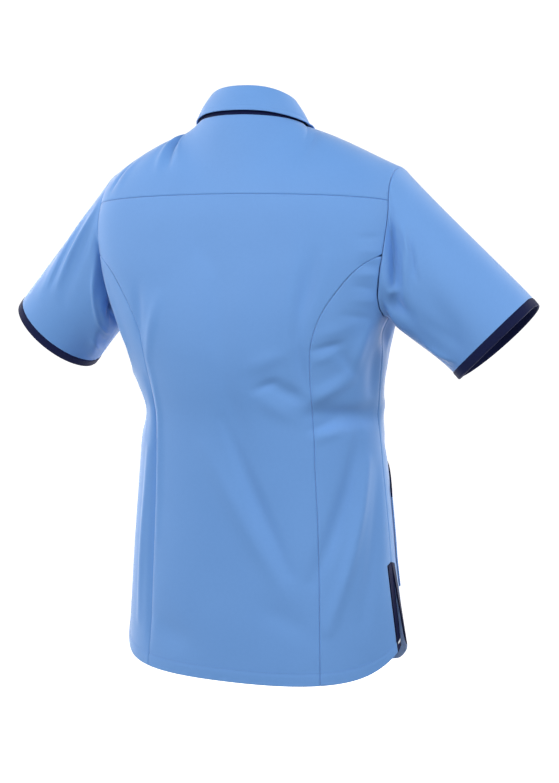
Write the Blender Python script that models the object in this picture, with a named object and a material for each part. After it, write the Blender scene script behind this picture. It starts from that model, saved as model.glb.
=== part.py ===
"""Fitted work tunic in sewn pieces of cloth: princess seams, short sleeves, collar, side vents.

Metres, +Z up. The front faces -Y and the wearer's left is toward +X.
The origin is the middle of the neck base, level with the inner ends of the shoulder seams.
Every piece has an outer face worked out from the tables below and an inner face one wall further in.
"""

import math

import bmesh
import bpy
import numpy as np

FRONT = -1
BACK = 1
LEFT = 1
RIGHT = -1


def table(names, *rows):
    """Rows of sizes as one array for each named column."""
    return dict(zip(names.split(), np.array(rows, float).T))


# Cloth
WALL = 0.0015
BINDING_WALL = 0.0022
BINDING_WIDTH = 0.010
BINDING_OVER = 0.00035
BINDING_TIP = 0.0015
BINDING_MITRE = 0.004
SEAM_GAP = 0.0003

# Heights on the body, from the neck base
HEM_CENTRE = -0.6744
HEM_RISE_BACK = 0.043
HEM_RISE_FRONT = 0.0496
HEM_POWER = 3.6
HEM_REACH = 1.2
VENT_TOP = -0.530
VENT_FLARE_BACK = 0.007
VENT_FLARE_FRONT = 0.012
UNDERARM = -0.232
YOKE_SEAM = -0.092
YOKE_ARCH = 0.009
YOKE_ARCH_FOOT = -0.160
VENT_REACH = 0.16
VENT_SPREAD = 0.0022
VENT_ZONE = 0.8
FRONT_BASE = -0.112
TOP = 0.0

# Neck and shoulder
NECK_S = 0.375
NECK_HALF = 0.070
NECK_CENTRE = 0.024
NECK_BACK = 0.052
NECK_FRONT = 0.068
NECK_BACK_RISE = 0.013
NECK_BACK_POWER = 0.7
NECK_FRONT_DROP = 0.072
SHOULDER_TIP = (0.193, 0.012, -0.052)
SHOULDER_BUMP = 0.005
SHOULDER_DRAW = 0.9
NECK_CROWD = 1.3
NECK_FRONT_POWER = 1.4
NECK_LEAN = 0.35
NECK_RISE = 0.94
NECK_BLEND = 0.25
SHOULDER_LENGTH = 0.13
SHOULDER_SLOPE = 0.12
DRAW_REACH = 0.3
SHOULDER_PULL = 1.15
FOOT_STEP = 0.004

# Collar
STAND_BACK = 0.036
STAND_FRONT = 0.028
STAND_LEAN = 0.58
STAND_END = 0.0008
NECK_AXIS = (0.0, -0.05, 0.98)
ROLL = 0.0026
ROLL_FOOT = 0.0008
FALL_BACK = -0.0040
FALL_SIDE = 0.004
FALL_POINT = 0.040
FALL_SPREAD = 0.45
FALL_CLEAR = 0.0042
FALL_BULGE = 0.0012
FALL_CURVE = 1.3
FALL_CORNER = 4
FALL_BEND = 0.008
FALL_STEPS = (0.12, 0.3, 0.5, 0.68, 0.84, 1.0)
SEEK_STEPS = 12
SEEK_ACROSS = 0.05
SEEK_DOWN = 0.02
ROLL_TURNS = np.radians([0, 45, 90, 135])

# Sleeve ends: direction of the sleeve, and the middle and half sizes of each end
CUFF_AXIS = (0.674, -0.048, -0.738)
CUFF_UP = (0.733, 0.170, 0.658)
CUFFS = table(
    "hand x y z half_tall half_deep back_drop",
    (LEFT, 0.2960, 0.0035, -0.2530, 0.0635, 0.0575, 0.000),
    (RIGHT, 0.3050, 0.0035, -0.2500, 0.0650, 0.0570, 0.008),
)
SLEEVE_PULL = 0.6
SLEEVE_LENGTH = 0.19
SETTLE_START = 0.05
SETTLE_END = 0.25
SLEEVE_GAP = 0.0005

# Front opening and buttons
OVERLAP_S = 0.0625
UNDERLAP_SINK = 0.0021
UNDERLAP_REACH = 0.16
BUTTON_RADIUS = 0.0075
BUTTON_THICK = 0.0026
BUTTON_CLEAR = 0.0004
BUTTON_TURNS = 14
BUTTON_TOP = -0.105
BUTTON_PITCH = 0.088
BUTTON_COUNT = 6

# Profile of a button from its back to its face, as shares of its radius and thickness
BUTTON_PROFILE = table(
    "radius height",
    (0.0, 0.0),
    (0.78, 0.0),
    (0.97, 0.28),
    (1.0, 0.62),
    (0.92, 1.0),
    (0.72, 1.0),
    (0.60, 0.68),
    (0.0, 0.62),
)

# Hip pocket, measured as shares of one front from centre to side seam
POCKET_IN = 0.375
POCKET_OUT = 0.875
POCKET_BOTTOM = -0.5730
POCKET_LOW = -0.452
POCKET_HIGH = -0.385
POCKET_SLANT = 0.65
POCKET_CLEAR = 0.015

# Sections of the body: half width, depth behind and before the side line, its place, and squareness
RINGS = table(
    "z half_width back front centre squareness",
    (-0.700, 0.1845, 0.105, 0.114, 0.001, 2.12),
    (-0.600, 0.1800, 0.104, 0.111, 0.001, 2.12),
    (-0.520, 0.1755, 0.103, 0.107, 0.001, 2.12),
    (-0.450, 0.1690, 0.103, 0.103, 0.001, 2.12),
    (-0.390, 0.1630, 0.105, 0.098, 0.002, 2.12),
    (-0.350, 0.1605, 0.107, 0.097, 0.004, 2.12),
    (-0.310, 0.1655, 0.107, 0.102, 0.011, 2.15),
    (-0.270, 0.1735, 0.103, 0.109, 0.020, 2.25),
    (-0.232, 0.1840, 0.098, 0.114, 0.025, 2.40),
    (-0.190, 0.1990, 0.094, 0.108, 0.025, 2.60),
    (-0.155, 0.2080, 0.092, 0.099, 0.023, 2.80),
    (-0.110, 0.2110, 0.087, 0.088, 0.021, 2.90),
    (-0.080, 0.2050, 0.079, 0.080, 0.020, 3.00),
)

# Armhole edge: degrees from the centre line, behind and before
ARMHOLE = table(
    "z back front",
    (-0.2320, 90.0, 90.0),
    (-0.2295, 82.0, 82.0),
    (-0.2230, 74.5, 74.0),
    (-0.2100, 67.5, 66.5),
    (-0.1880, 62.5, 61.0),
    (-0.1550, 59.5, 58.0),
    (-0.1120, 59.8, 58.5),
    (-0.0920, 61.0, 59.0),
    (-0.0800, 61.5, 59.5),
)

# Princess seams of the back: degrees from the centre line
PRINCESS = table(
    "z turn",
    (-0.7000, 39.6),
    (-0.6000, 40.0),
    (-0.5000, 40.6),
    (-0.4200, 41.2),
    (-0.3500, 42.2),
    (-0.3000, 40.4),
    (-0.2650, 39.2),
    (-0.2350, 40.0),
    (-0.2100, 42.2),
    (-0.1970, 44.0),
    (-0.1840, 46.2),
    (-0.1720, 49.2),
    (-0.1630, 53.2),
    (-0.1545, 59.6),
)
PRINCESS_TIP = -0.1558
PRINCESS_TOP = -0.1545

# Points across each panel, and round half of the neck and shoulder line
CENTRE_COLUMNS = 15
SIDE_COLUMNS = 7
BINDING_COLUMNS = 3
SHOULDER_COLUMNS = 17

# Metres of cloth to a degree round the body and round a sleeve, and the strength of a fold at its ends
BODY_DEGREE = 0.0027
SLEEVE_DEGREE = 0.00105
FOLD_END = 0.35

# Largest folds of the body: ends in degrees round from the back centre, wearer's left positive, and height
BODY_FOLDS = table(
    "turn_a z_a turn_b z_b width lift",
    (-86, -0.350, -42, -0.347, 0.012, -0.0082),
    (-62, -0.300, -40, -0.330, 0.010, 0.0046),
    (-67, -0.245, -62, -0.296, 0.012, 0.0040),
    (-80, -0.262, -80, -0.330, 0.020, -0.0045),
    (-68, -0.372, -38, -0.545, 0.010, -0.0052),
    (-73, -0.405, -44, -0.605, 0.009, 0.0052),
    (-82, -0.420, -62, -0.600, 0.014, -0.0045),
    (-26, -0.140, -27, -0.270, 0.011, 0.0020),
    (-32, -0.155, -33, -0.250, 0.007, -0.0040),
    (-33, -0.250, -38, -0.310, 0.007, -0.0034),
    (-22, -0.308, -40, -0.330, 0.009, -0.0034),
    (-17, -0.326, -34, -0.350, 0.010, 0.0018),
    (-1, -0.355, -27, -0.536, 0.009, -0.0042),
    (8, -0.392, -26, -0.562, 0.012, 0.0032),
    (42, -0.310, 40, -0.640, 0.006, -0.0046),
    (48, -0.400, 50, -0.620, 0.007, 0.0036),
    (37, -0.285, 36, -0.510, 0.006, 0.0030),
    (60, -0.180, 58, -0.290, 0.013, 0.0030),
    (54, -0.352, 100, -0.342, 0.025, -0.0080),
    (-84, -0.240, -100, -0.262, 0.018, -0.0060),
    (100, -0.300, 150, -0.345, 0.016, -0.0030),
    (-105, -0.310, -148, -0.350, 0.016, -0.0030),
)

# Largest folds of the sleeves: degrees up from the underarm seam, behind positive, and share of the length
SLEEVE_FOLDS = {
    LEFT: table(
        "turn_a along_a turn_b along_b width lift",
        (78, 0.03, 12, 0.19, 0.014, -0.0340),
        (128, 0.12, 107, 0.60, 0.010, 0.0035),
        (116, 0.10, 90, 0.60, 0.010, -0.0030),
        (148, 0.30, 124, 0.75, 0.010, 0.0025),
        (30, 0.45, 20, 0.95, 0.010, 0.0030),
        (-60, 0.05, -38, 0.75, 0.014, -0.0045),
        (-110, 0.10, -75, 0.65, 0.013, 0.0035),
    ),
    RIGHT: table(
        "turn_a along_a turn_b along_b width lift",
        (112, 0.02, 56, 0.24, 0.013, -0.0090),
        (116, 0.20, 62, 0.34, 0.008, 0.0045),
        (42, 0.08, 54, 0.42, 0.010, -0.0065),
        (88, 0.45, 78, 0.92, 0.014, -0.0030),
        (34, 0.55, 60, 0.98, 0.010, 0.0035),
        (-34, 0.07, 24, 0.09, 0.015, -0.0130),
        (-60, 0.05, -38, 0.75, 0.014, -0.0045),
        (-110, 0.10, -75, 0.65, 0.013, 0.0035),
    ),
}

# Linear colours and roughness of the materials
BLUE = (0.190, 0.366, 0.745)
NAVY = (0.006, 0.013, 0.060)
BUTTON_BLUE = (0.160, 0.310, 0.640)
CLOTH_ROUGHNESS = 0.75
BUTTON_ROUGHNESS = 0.35


def smooth(sizes, key, name, at):
    """A column's value at any place along the key column, on a smooth curve through the rows."""
    x = sizes[key]
    y = sizes[name]
    slope = np.gradient(y, x)
    at = np.clip(at, x[0], x[-1])
    i = np.clip(np.searchsorted(x, at, side="right") - 1, 0, len(x) - 2)
    h = x[i + 1] - x[i]
    t = (at - x[i]) / h
    start = (1 + 2 * t) * (1 - t) ** 2 * y[i] + t * (1 - t) ** 2 * h * slope[i]
    end = t * t * (3 - 2 * t) * y[i + 1] + t * t * (t - 1) * h * slope[i + 1]
    return start + end


def unit(v):
    """Vectors of length one."""
    v = np.asarray(v, float)
    return v / np.maximum(np.linalg.norm(v, axis=-1, keepdims=True), 1e-12)


def ease(t):
    """A share from 0 to 1 that starts and stops gently."""
    t = np.clip(t, 0.0, 1.0)
    return t * t * (3 - 2 * t)


def hermite(a, along_a, b, along_b, t):
    """A smooth curve from a to b that leaves and arrives in the directions given."""
    t = np.asarray(t, float)[..., None]
    start = (1 + 2 * t) * (1 - t) ** 2 * a + t * (1 - t) ** 2 * along_a
    end = t * t * (3 - 2 * t) * b + t * t * (t - 1) * along_b
    return start + end


def edge_angle(side, z):
    """Angle from the centre line to the side seam, or to the armhole above the underarm."""
    column = "back" if side == BACK else "front"
    armhole = smooth(ARMHOLE, "z", column, z)
    return np.radians(np.where(z <= UNDERARM, 90.0, armhole))


def ring_point(side, angle, z):
    """Point of a body section, the angle measured from the centre line of the front or back."""
    half = smooth(RINGS, "z", "half_width", z)
    depth = smooth(RINGS, "z", "back" if side == BACK else "front", z)
    centre = smooth(RINGS, "z", "centre", z)
    power = smooth(RINGS, "z", "squareness", z)
    across = np.sin(angle)
    out = np.cos(angle)
    reach = (np.abs(across) ** power + np.abs(out) ** power) ** (-1 / power)
    return np.stack([half * across * reach, centre + side * depth * out * reach, z + 0 * across], -1)


def lower_body(side, s, v):
    """Body below the yoke seam: s is the share of the way to the side, v the height at the centre line."""
    angle = s * edge_angle(side, v)
    drop = np.clip((VENT_TOP - v) / (VENT_TOP - HEM_CENTRE), 0.0, HEM_REACH)
    rise = HEM_RISE_BACK if side == BACK else HEM_RISE_FRONT
    z = v + rise * np.abs(angle / (math.pi / 2)) ** HEM_POWER * drop
    if side == BACK:
        z = z + YOKE_ARCH * (1 - s * s) * ease((v - YOKE_ARCH_FOOT) / (YOKE_SEAM - YOKE_ARCH_FOOT))
    point = ring_point(side, angle, v)
    point[..., 2] = z
    return point


def top_line(side, s):
    """Neck seam and shoulder seam, and the direction in which the cloth arrives there."""
    u = np.abs(s)
    a = 0.5 * math.pi * (1 - (1 - np.clip(u / NECK_S, 0, 1)) ** NECK_CROWD)
    w = np.clip((u - NECK_S) / (1 - NECK_S), 0, 1) ** NECK_CROWD
    reach = NECK_BACK if side == BACK else -NECK_FRONT
    level = np.maximum(np.cos(a), 0)
    back_rise = NECK_BACK_RISE * level**NECK_BACK_POWER
    front_rise = -NECK_FRONT_DROP * level**NECK_FRONT_POWER
    rise = back_rise if side == BACK else front_rise
    x = np.where(u < NECK_S, NECK_HALF * np.sin(a), NECK_HALF + (SHOULDER_TIP[0] - NECK_HALF) * w)
    seam_y = NECK_CENTRE + (SHOULDER_TIP[1] - NECK_CENTRE) * w
    y = np.where(u < NECK_S, NECK_CENTRE + reach * np.cos(a), seam_y)
    bump = SHOULDER_BUMP * np.sin(math.pi * w) * (1 - w)
    z = np.where(u < NECK_S, rise, SHOULDER_TIP[2] * w + bump)
    hand = np.sign(s)
    rising = np.stack([-hand * np.sin(a) * NECK_LEAN, -side * np.cos(a) * NECK_LEAN, NECK_RISE + 0 * a], -1)
    inward = SHOULDER_DRAW * (1 - ease((u - NECK_S) / DRAW_REACH))
    seam_x = (SHOULDER_TIP[0] - NECK_HALF) / SHOULDER_LENGTH
    seam_z = SHOULDER_TIP[2] / SHOULDER_LENGTH
    over = np.stack([-hand * inward * seam_x, -side + 0 * u, -inward * seam_z - side * SHOULDER_SLOPE], -1)
    blend = ease((u / NECK_S - NECK_BLEND) / (1 - NECK_BLEND))[..., None]
    arrive = unit(unit(rising) * (1 - blend) + unit(over) * blend)
    return np.stack([hand * x, y, z], -1), arrive


def body_point(side, s, v):
    """Outer face of the body: v is a height up to the base of the shoulder, then runs on to the top line."""
    s, v = np.broadcast_arrays(np.asarray(s, float), np.asarray(v, float))
    base = YOKE_SEAM if side == BACK else FRONT_BASE
    low = lower_body(side, s, np.minimum(v, base))
    foot = lower_body(side, s, np.full_like(v, base))
    rising = unit(foot - lower_body(side, s, np.full_like(v, base - FOOT_STEP)))
    head, arrive = top_line(side, s)
    pull = SHOULDER_PULL * np.linalg.norm(head - foot, axis=-1, keepdims=True)
    high = hermite(foot, rising * pull, head, arrive * pull, (np.maximum(v, base) - base) / (TOP - base))
    return np.where((v > base)[..., None], high, low)


def face_direction(side, s, v):
    """Outward direction of one side's face."""
    step = 2e-4
    v_up = np.minimum(v + step, TOP)
    v_down = v_up - 2 * step
    across = body_point(side, s + step, v) - body_point(side, s - step, v)
    up = body_point(side, s, v_up) - body_point(side, s, v_down)
    return unit(-side * np.cross(across, up))


def body_normal(side, s, v):
    """Outward direction of the body's face, shared by yoke and front at the shoulder seam."""
    s, v = np.broadcast_arrays(np.asarray(s, float), np.asarray(v, float))
    own = face_direction(side, s, v)
    shared = unit(own + face_direction(-side, s, v))
    on_seam = (v > TOP - 1e-9) & (np.abs(s) > NECK_S - 1e-9)
    return np.where(on_seam[..., None], shared, own)


def fold_lift(folds, turn, height, round_size, long_size, first, last):
    """Sum of soft ridges and valleys, each along a line between two ends."""
    total = np.zeros(np.broadcast(turn, height).shape)
    for row in range(len(folds["lift"])):
        ax = folds["turn_a"][row] * round_size
        ay = folds[first][row] * long_size
        bx = folds["turn_b"][row] * round_size
        by = folds[last][row] * long_size
        px = turn * round_size - ax
        py = height * long_size - ay
        length2 = (bx - ax) ** 2 + (by - ay) ** 2
        t = (px * (bx - ax) + py * (by - ay)) / length2
        near = np.clip(t, 0, 1)
        away = np.hypot(px - near * (bx - ax), py - near * (by - ay))
        strength = FOLD_END + (1 - FOLD_END) * np.sin(math.pi * near)
        total = total + folds["lift"][row] * strength * np.exp(-((away / folds["width"][row]) ** 2))
    return total


def body_lift(side, s, v):
    """Folds of the body, the sunk underlap of the left front and the spread of the vents."""
    angle = np.degrees(s * edge_angle(side, np.minimum(v, YOKE_SEAM)))
    turn = angle if side == BACK else np.sign(s + 1e-9) * 180 - angle
    lift = fold_lift(BODY_FOLDS, turn, np.minimum(v, YOKE_SEAM), BODY_DEGREE, 1.0, "z_a", "z_b")
    open_share = np.clip((VENT_TOP - v) / (VENT_TOP - HEM_CENTRE), 0, 1)
    flare = VENT_FLARE_BACK if side == BACK else VENT_FLARE_FRONT
    return lift + flare * open_share * np.exp(-(((1 - np.abs(s)) / VENT_REACH) ** 2))


def underlap(s):
    """How far the left front is sunk under the right one."""
    return UNDERLAP_SINK * (1 - ease((s - OVERLAP_S) / UNDERLAP_REACH))


def cloth_grid(side, s, v, raise_by=0.0):
    """Outer points and outward directions of a piece of the body."""
    s, v = np.broadcast_arrays(np.asarray(s, float), np.asarray(v, float))
    normal = body_normal(side, s, v)
    lift = body_lift(side, s, v) + raise_by
    return body_point(side, s, v) + normal * lift[..., None], normal


def drawn_in(edge, beside, amount):
    """An edge moved square to itself toward the line beside it."""
    along = unit(np.gradient(edge, axis=0))
    step = beside - edge
    step = step - along * np.sum(step * along, axis=1, keepdims=True)
    return unit(step) * np.reshape(amount, (-1, 1))


def trim_grid(points, left=0.0, right=0.0, bottom=0.0, top=0.0):
    """Draws the edges of a grid in, so that a seam gap is left beside them."""
    moved = points.copy()
    moved[:, 0] += drawn_in(points[:, 0], points[:, 1], left)
    moved[:, -1] += drawn_in(points[:, -1], points[:, -2], right)
    moved[0] += drawn_in(points[0], points[1], bottom)
    moved[-1] += drawn_in(points[-1], points[-2], top)
    return moved


def add_mesh(name, vertices, faces, material):
    """A closed body with its faces pointing out."""
    mesh = bpy.data.meshes.new(name)
    mesh.from_pydata([tuple(map(float, p)) for p in vertices], [], faces)
    work = bmesh.new()
    work.from_mesh(mesh)
    bmesh.ops.triangulate(work, faces=work.faces[:], quad_method="SHORT_EDGE")
    bmesh.ops.recalc_face_normals(work, faces=work.faces[:])
    work.to_mesh(mesh)
    work.free()
    for polygon in mesh.polygons:
        polygon.use_smooth = True
    item = bpy.data.objects.new(name, mesh)
    bpy.context.scene.collection.objects.link(item)
    mesh.materials.append(material)
    return item


def shell(name, outer, inner, material, ring=False):
    """Cloth between two grids of points; a ring joins its last column to its first."""
    rows, columns = outer.shape[:2]
    vertices = np.concatenate([outer.reshape(-1, 3), inner.reshape(-1, 3)])
    far = rows * columns

    def at(i, j):
        return i * columns + j % columns

    faces = []
    span = columns if ring else columns - 1
    for i in range(rows - 1):
        for j in range(span):
            quad = (at(i, j), at(i, j + 1), at(i + 1, j + 1), at(i + 1, j))
            faces.append(quad)
            faces.append(tuple(far + k for k in reversed(quad)))
    for i, flip in ((0, True), (rows - 1, False)):
        for j in range(span):
            quad = (at(i, j), at(i, j + 1), far + at(i, j + 1), far + at(i, j))
            faces.append(quad[::-1] if flip else quad)
    if not ring:
        for j, flip in ((0, False), (columns - 1, True)):
            for i in range(rows - 1):
                quad = (at(i, j), at(i + 1, j), far + at(i + 1, j), far + at(i, j))
                faces.append(quad[::-1] if flip else quad)
    return add_mesh(name, vertices, faces, material)


def cloth_piece(name, side, s, v, material, wall=WALL, over=0.0, raise_by=0.0, **trims):
    """A shaped piece of the body; over thickens it outward as well."""
    points, normals = cloth_grid(side, s, v, raise_by)
    points = trim_grid(points, **trims)
    return shell(name, points + normals * over, points - normals * (wall - over), material)


def vent_edge(side, v):
    """Share of the way to the side seam where a panel gives way to its vent binding."""
    width = BINDING_WIDTH * np.clip((VENT_TOP - v) / BINDING_MITRE, 0, 1)
    step = 0.01
    reach = np.linalg.norm(body_point(side, 1.0, v) - body_point(side, 1 - step, v), axis=-1) / step
    return 1 - width / reach


def vent_gap(v):
    """Half the space between the two edges of a vent."""
    return SEAM_GAP / 2 + VENT_SPREAD * np.clip((VENT_TOP - v) / (VENT_TOP - HEM_CENTRE), 0, 1)


def heights(*marks):
    """Heights from mark to mark, each given as (start, end, steps)."""
    rows = [np.linspace(start, end, steps + 1)[:-1] for start, end, steps in marks]
    return np.concatenate(rows + [[marks[-1][1]]])


HEM_ROWS = heights((HEM_CENTRE, VENT_TOP - BINDING_MITRE, 4), (VENT_TOP - BINDING_MITRE, VENT_TOP, 1))
SIDE_ROWS = heights((VENT_TOP, -0.42, 4), (-0.42, -0.25, 8), (-0.25, UNDERARM, 1))
ARM_ROWS = np.array([UNDERARM, -0.2295, -0.2230, -0.2100, -0.1920, -0.1760, -0.1650, PRINCESS_TIP])
BACK_TOP_ROWS = np.array([PRINCESS_TOP, -0.135, -0.114, YOKE_SEAM])
FRONT_TOP_ROWS = np.array([PRINCESS_TOP, -0.133, FRONT_BASE])
YOKE_ROWS = heights((YOKE_SEAM, TOP, 6))
CHEST_ROWS = heights((FRONT_BASE, TOP, 6))
SHOULDER_S = np.linspace(0, 1, SHOULDER_COLUMNS)


def joined(*parts):
    """Lists of heights end to end, with each shared one once."""
    return np.concatenate([parts[0]] + [p[1:] for p in parts[1:]])


def princess_share(v):
    """Share of the way from the centre line to the side at which the princess seam runs."""
    turn = np.radians(smooth(PRINCESS, "z", "turn", v))
    return np.where(v >= PRINCESS_TOP, 1.0, turn / edge_angle(BACK, v))


def back_panels(blue, navy):
    """Centre back, side backs, yoke and the rear vent bindings."""
    half = SEAM_GAP / 2
    rows = joined(HEM_ROWS, SIDE_ROWS, ARM_ROWS)
    rows = np.concatenate([rows, BACK_TOP_ROWS])
    share = princess_share(rows)
    s = share[:, None] * np.linspace(-1, 1, CENTRE_COLUMNS)[None, :]
    cloth_piece("back_centre", BACK, s, rows[:, None], blue, left=half, right=half, top=half)

    rows = joined(HEM_ROWS, SIDE_ROWS, ARM_ROWS)
    inner = princess_share(rows)
    outer = vent_edge(BACK, rows)
    across = np.linspace(0, 1, SIDE_COLUMNS)[None, :]
    s = inner[:, None] * (1 - across) + outer[:, None] * across
    for hand, word in ((LEFT, "left"), (RIGHT, "right")):
        cloth_piece("side_back_" + word, BACK, hand * s, rows[:, None], blue, left=half, right=half)
        vent_binding("vent_back_" + word, BACK, hand, navy)

    s = np.concatenate([-SHOULDER_S[:0:-1], SHOULDER_S])
    seams = {"left": half, "right": half, "bottom": half, "top": half}
    cloth_piece("back_yoke", BACK, s[None, :], YOKE_ROWS[:, None], blue, **seams)


def vent_binding(name, side, hand, navy):
    """Binding of one edge of a vent, pointed at its top."""
    rows = np.concatenate([HEM_ROWS[:-1], [VENT_TOP - BINDING_TIP]])
    inner = vent_edge(side, rows)
    across = np.linspace(0, 1, BINDING_COLUMNS)[None, :]
    s = inner[:, None] * (1 - across) + across
    cloth_piece(
        name, side, hand * s, rows[:, None], navy,
        wall=BINDING_WALL, over=BINDING_OVER, left=SEAM_GAP, right=vent_gap(rows),
    )


def front_panels(blue, navy):
    """The two fronts, their vent bindings, pockets and pocket bindings."""
    half = SEAM_GAP / 2
    rows = np.concatenate([joined(HEM_ROWS, SIDE_ROWS, ARM_ROWS), FRONT_TOP_ROWS, CHEST_ROWS[1:]])
    edge = vent_edge(FRONT, rows)
    for hand, word in ((LEFT, "left"), (RIGHT, "right")):
        s = np.concatenate([[-OVERLAP_S], SHOULDER_S])[None, :] + 0 * rows[:, None]
        squeeze = (edge[:, None] - VENT_ZONE) / (1 - VENT_ZONE)
        s = np.where(s > VENT_ZONE, VENT_ZONE + (s - VENT_ZONE) * squeeze, s)
        sink = -underlap(s) if hand == LEFT else 0.0
        cloth_piece(
            "front_" + word, FRONT, hand * s, rows[:, None], blue,
            raise_by=sink, right=half, top=half,
        )
        vent_binding("vent_front_" + word, FRONT, hand, navy)
        hip_pocket(word, hand, blue, navy)


def pocket_mouth(s):
    """Height of the slanted pocket mouth."""
    t = np.clip((POCKET_OUT - s) / (POCKET_SLANT * (POCKET_OUT - POCKET_IN)), 0, 1)
    return POCKET_LOW + (POCKET_HIGH - POCKET_LOW) * t


def hip_pocket(word, hand, blue, navy):
    """Patch pocket laid flat on a front, with a bound slanted mouth."""
    s = SHOULDER_S[(SHOULDER_S >= POCKET_IN) & (SHOULDER_S <= POCKET_OUT)]
    mouth = pocket_mouth(s)
    over = SEAM_GAP * 2 + WALL
    panel_rows = joined(HEM_ROWS, SIDE_ROWS)
    wanted = (panel_rows > POCKET_BOTTOM - SEAM_GAP) & (panel_rows < POCKET_LOW - POCKET_CLEAR)
    straight = panel_rows[wanted]
    slanted = straight[-1] + (mouth[None, :] - straight[-1]) * np.linspace(0, 1, 5)[1:, None]
    rows = np.concatenate([straight[:, None] + 0 * mouth[None, :], slanted])
    cloth_piece("pocket_" + word, FRONT, hand * s[None, :], rows, blue, raise_by=over)
    rows = mouth[None, :] + np.array([[SEAM_GAP], [BINDING_WIDTH]])
    cloth_piece(
        "pocket_trim_" + word, FRONT, hand * s[None, :], rows, navy,
        wall=WALL, raise_by=over,
    )


def armhole_loop():
    """Armhole edge from the underarm up the back, over the shoulder and down the front."""
    back = np.concatenate([ARM_ROWS, BACK_TOP_ROWS, YOKE_ROWS[1:]])
    front = np.concatenate([ARM_ROWS, FRONT_TOP_ROWS, CHEST_ROWS[1:]])[::-1][1:-1]
    behind, behind_out = cloth_grid(BACK, np.ones_like(back), back)
    before, before_out = cloth_grid(FRONT, np.ones_like(front), front)
    return np.concatenate([behind, before]), np.concatenate([behind_out, before_out]), len(back)


def sleeve_grid(hand, along):
    """Outer points, outward directions and turn of a sleeve from the armhole to its end."""
    start, cloth_out, back_count = armhole_loop()
    step = np.linalg.norm(np.roll(start, -1, 0) - start, axis=1)
    walked = np.concatenate([[0], np.cumsum(step)])
    top = back_count - 1
    turn = np.where(
        np.arange(len(start)) <= top,
        walked[:-1] / walked[top] * 180,
        180 + (walked[:-1] - walked[top]) / (walked[-1] - walked[top]) * 180,
    )
    axis = unit(CUFF_AXIS)
    tall = unit(CUFF_UP)
    deep = unit(np.cross(tall, axis))
    angle = np.radians(turn)[:, None]
    row = list(CUFFS["hand"]).index(hand)
    middle = np.array([CUFFS["x"][row], CUFFS["y"][row], CUFFS["z"][row]])
    high = tall * CUFFS["half_tall"][row]
    wide = deep * CUFFS["half_deep"][row]
    drop = axis * CUFFS["back_drop"][row]
    end = middle - np.cos(angle) * high + np.sin(angle) * wide + np.maximum(np.sin(angle), 0) * drop
    pull = axis * SLEEVE_PULL * np.linalg.norm(end - start, axis=1, keepdims=True)
    grid = np.stack([hermite(start, pull, end, pull, np.full(len(start), t)) for t in along])
    round_step = np.roll(grid, -1, 1) - np.roll(grid, 1, 1)
    long_step = np.gradient(grid, along, axis=0)
    normal = unit(np.cross(round_step, long_step))
    alike = np.clip(np.sum(normal[0] * cloth_out, axis=1, keepdims=True), 0, 1)
    normal[0] = unit(normal[0] + cloth_out * alike)
    signed = np.where(turn > 180, turn - 360, turn)
    return grid, normal, signed


def sleeves(blue, navy):
    """Both sleeves and the bindings of their ends."""
    along = np.concatenate([[0], np.linspace(0.06, 1, 9)])
    settle = ease(along / SETTLE_START) * (FOLD_END + (1 - FOLD_END) * ease((1 - along) / SETTLE_END))
    axis = unit(CUFF_AXIS)
    for hand, word in ((LEFT, "left"), (RIGHT, "right")):
        grid, normal, turn = sleeve_grid(hand, along)
        lift = fold_lift(
            SLEEVE_FOLDS[hand], turn[None, :], along[:, None],
            SLEEVE_DEGREE, SLEEVE_LENGTH, "along_a", "along_b",
        )
        outer = grid + normal * (lift * settle[:, None])[..., None]
        outer[0] += unit(outer[1] - outer[0]) * SLEEVE_GAP
        inner = outer - normal * WALL
        rim = outer[-1] + axis * SEAM_GAP + np.array([[[0.0]], [[BINDING_WIDTH]]]) * axis
        rim_out = rim + normal[-1] * BINDING_OVER
        rim_in = rim - normal[-1] * (BINDING_WALL - BINDING_OVER)
        flip = np.array([hand, 1, 1])
        shell("sleeve_" + word, outer * flip, inner * flip, blue, ring=True)
        shell("cuff_binding_" + word, rim_out * flip, rim_in * flip, navy, ring=True)


def collar_path():
    """Points round the neck seam from the right front end to the left front end."""
    s = SHOULDER_S[SHOULDER_S <= NECK_S]
    right_front = -s
    back = np.concatenate([-s[:0:-1], s])[1:-1]
    left_front = s[::-1]
    sides = np.concatenate([np.full(len(s), FRONT), np.full(len(back), BACK), np.full(len(s), FRONT)])
    return sides, np.concatenate([right_front, back, left_front])


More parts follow.
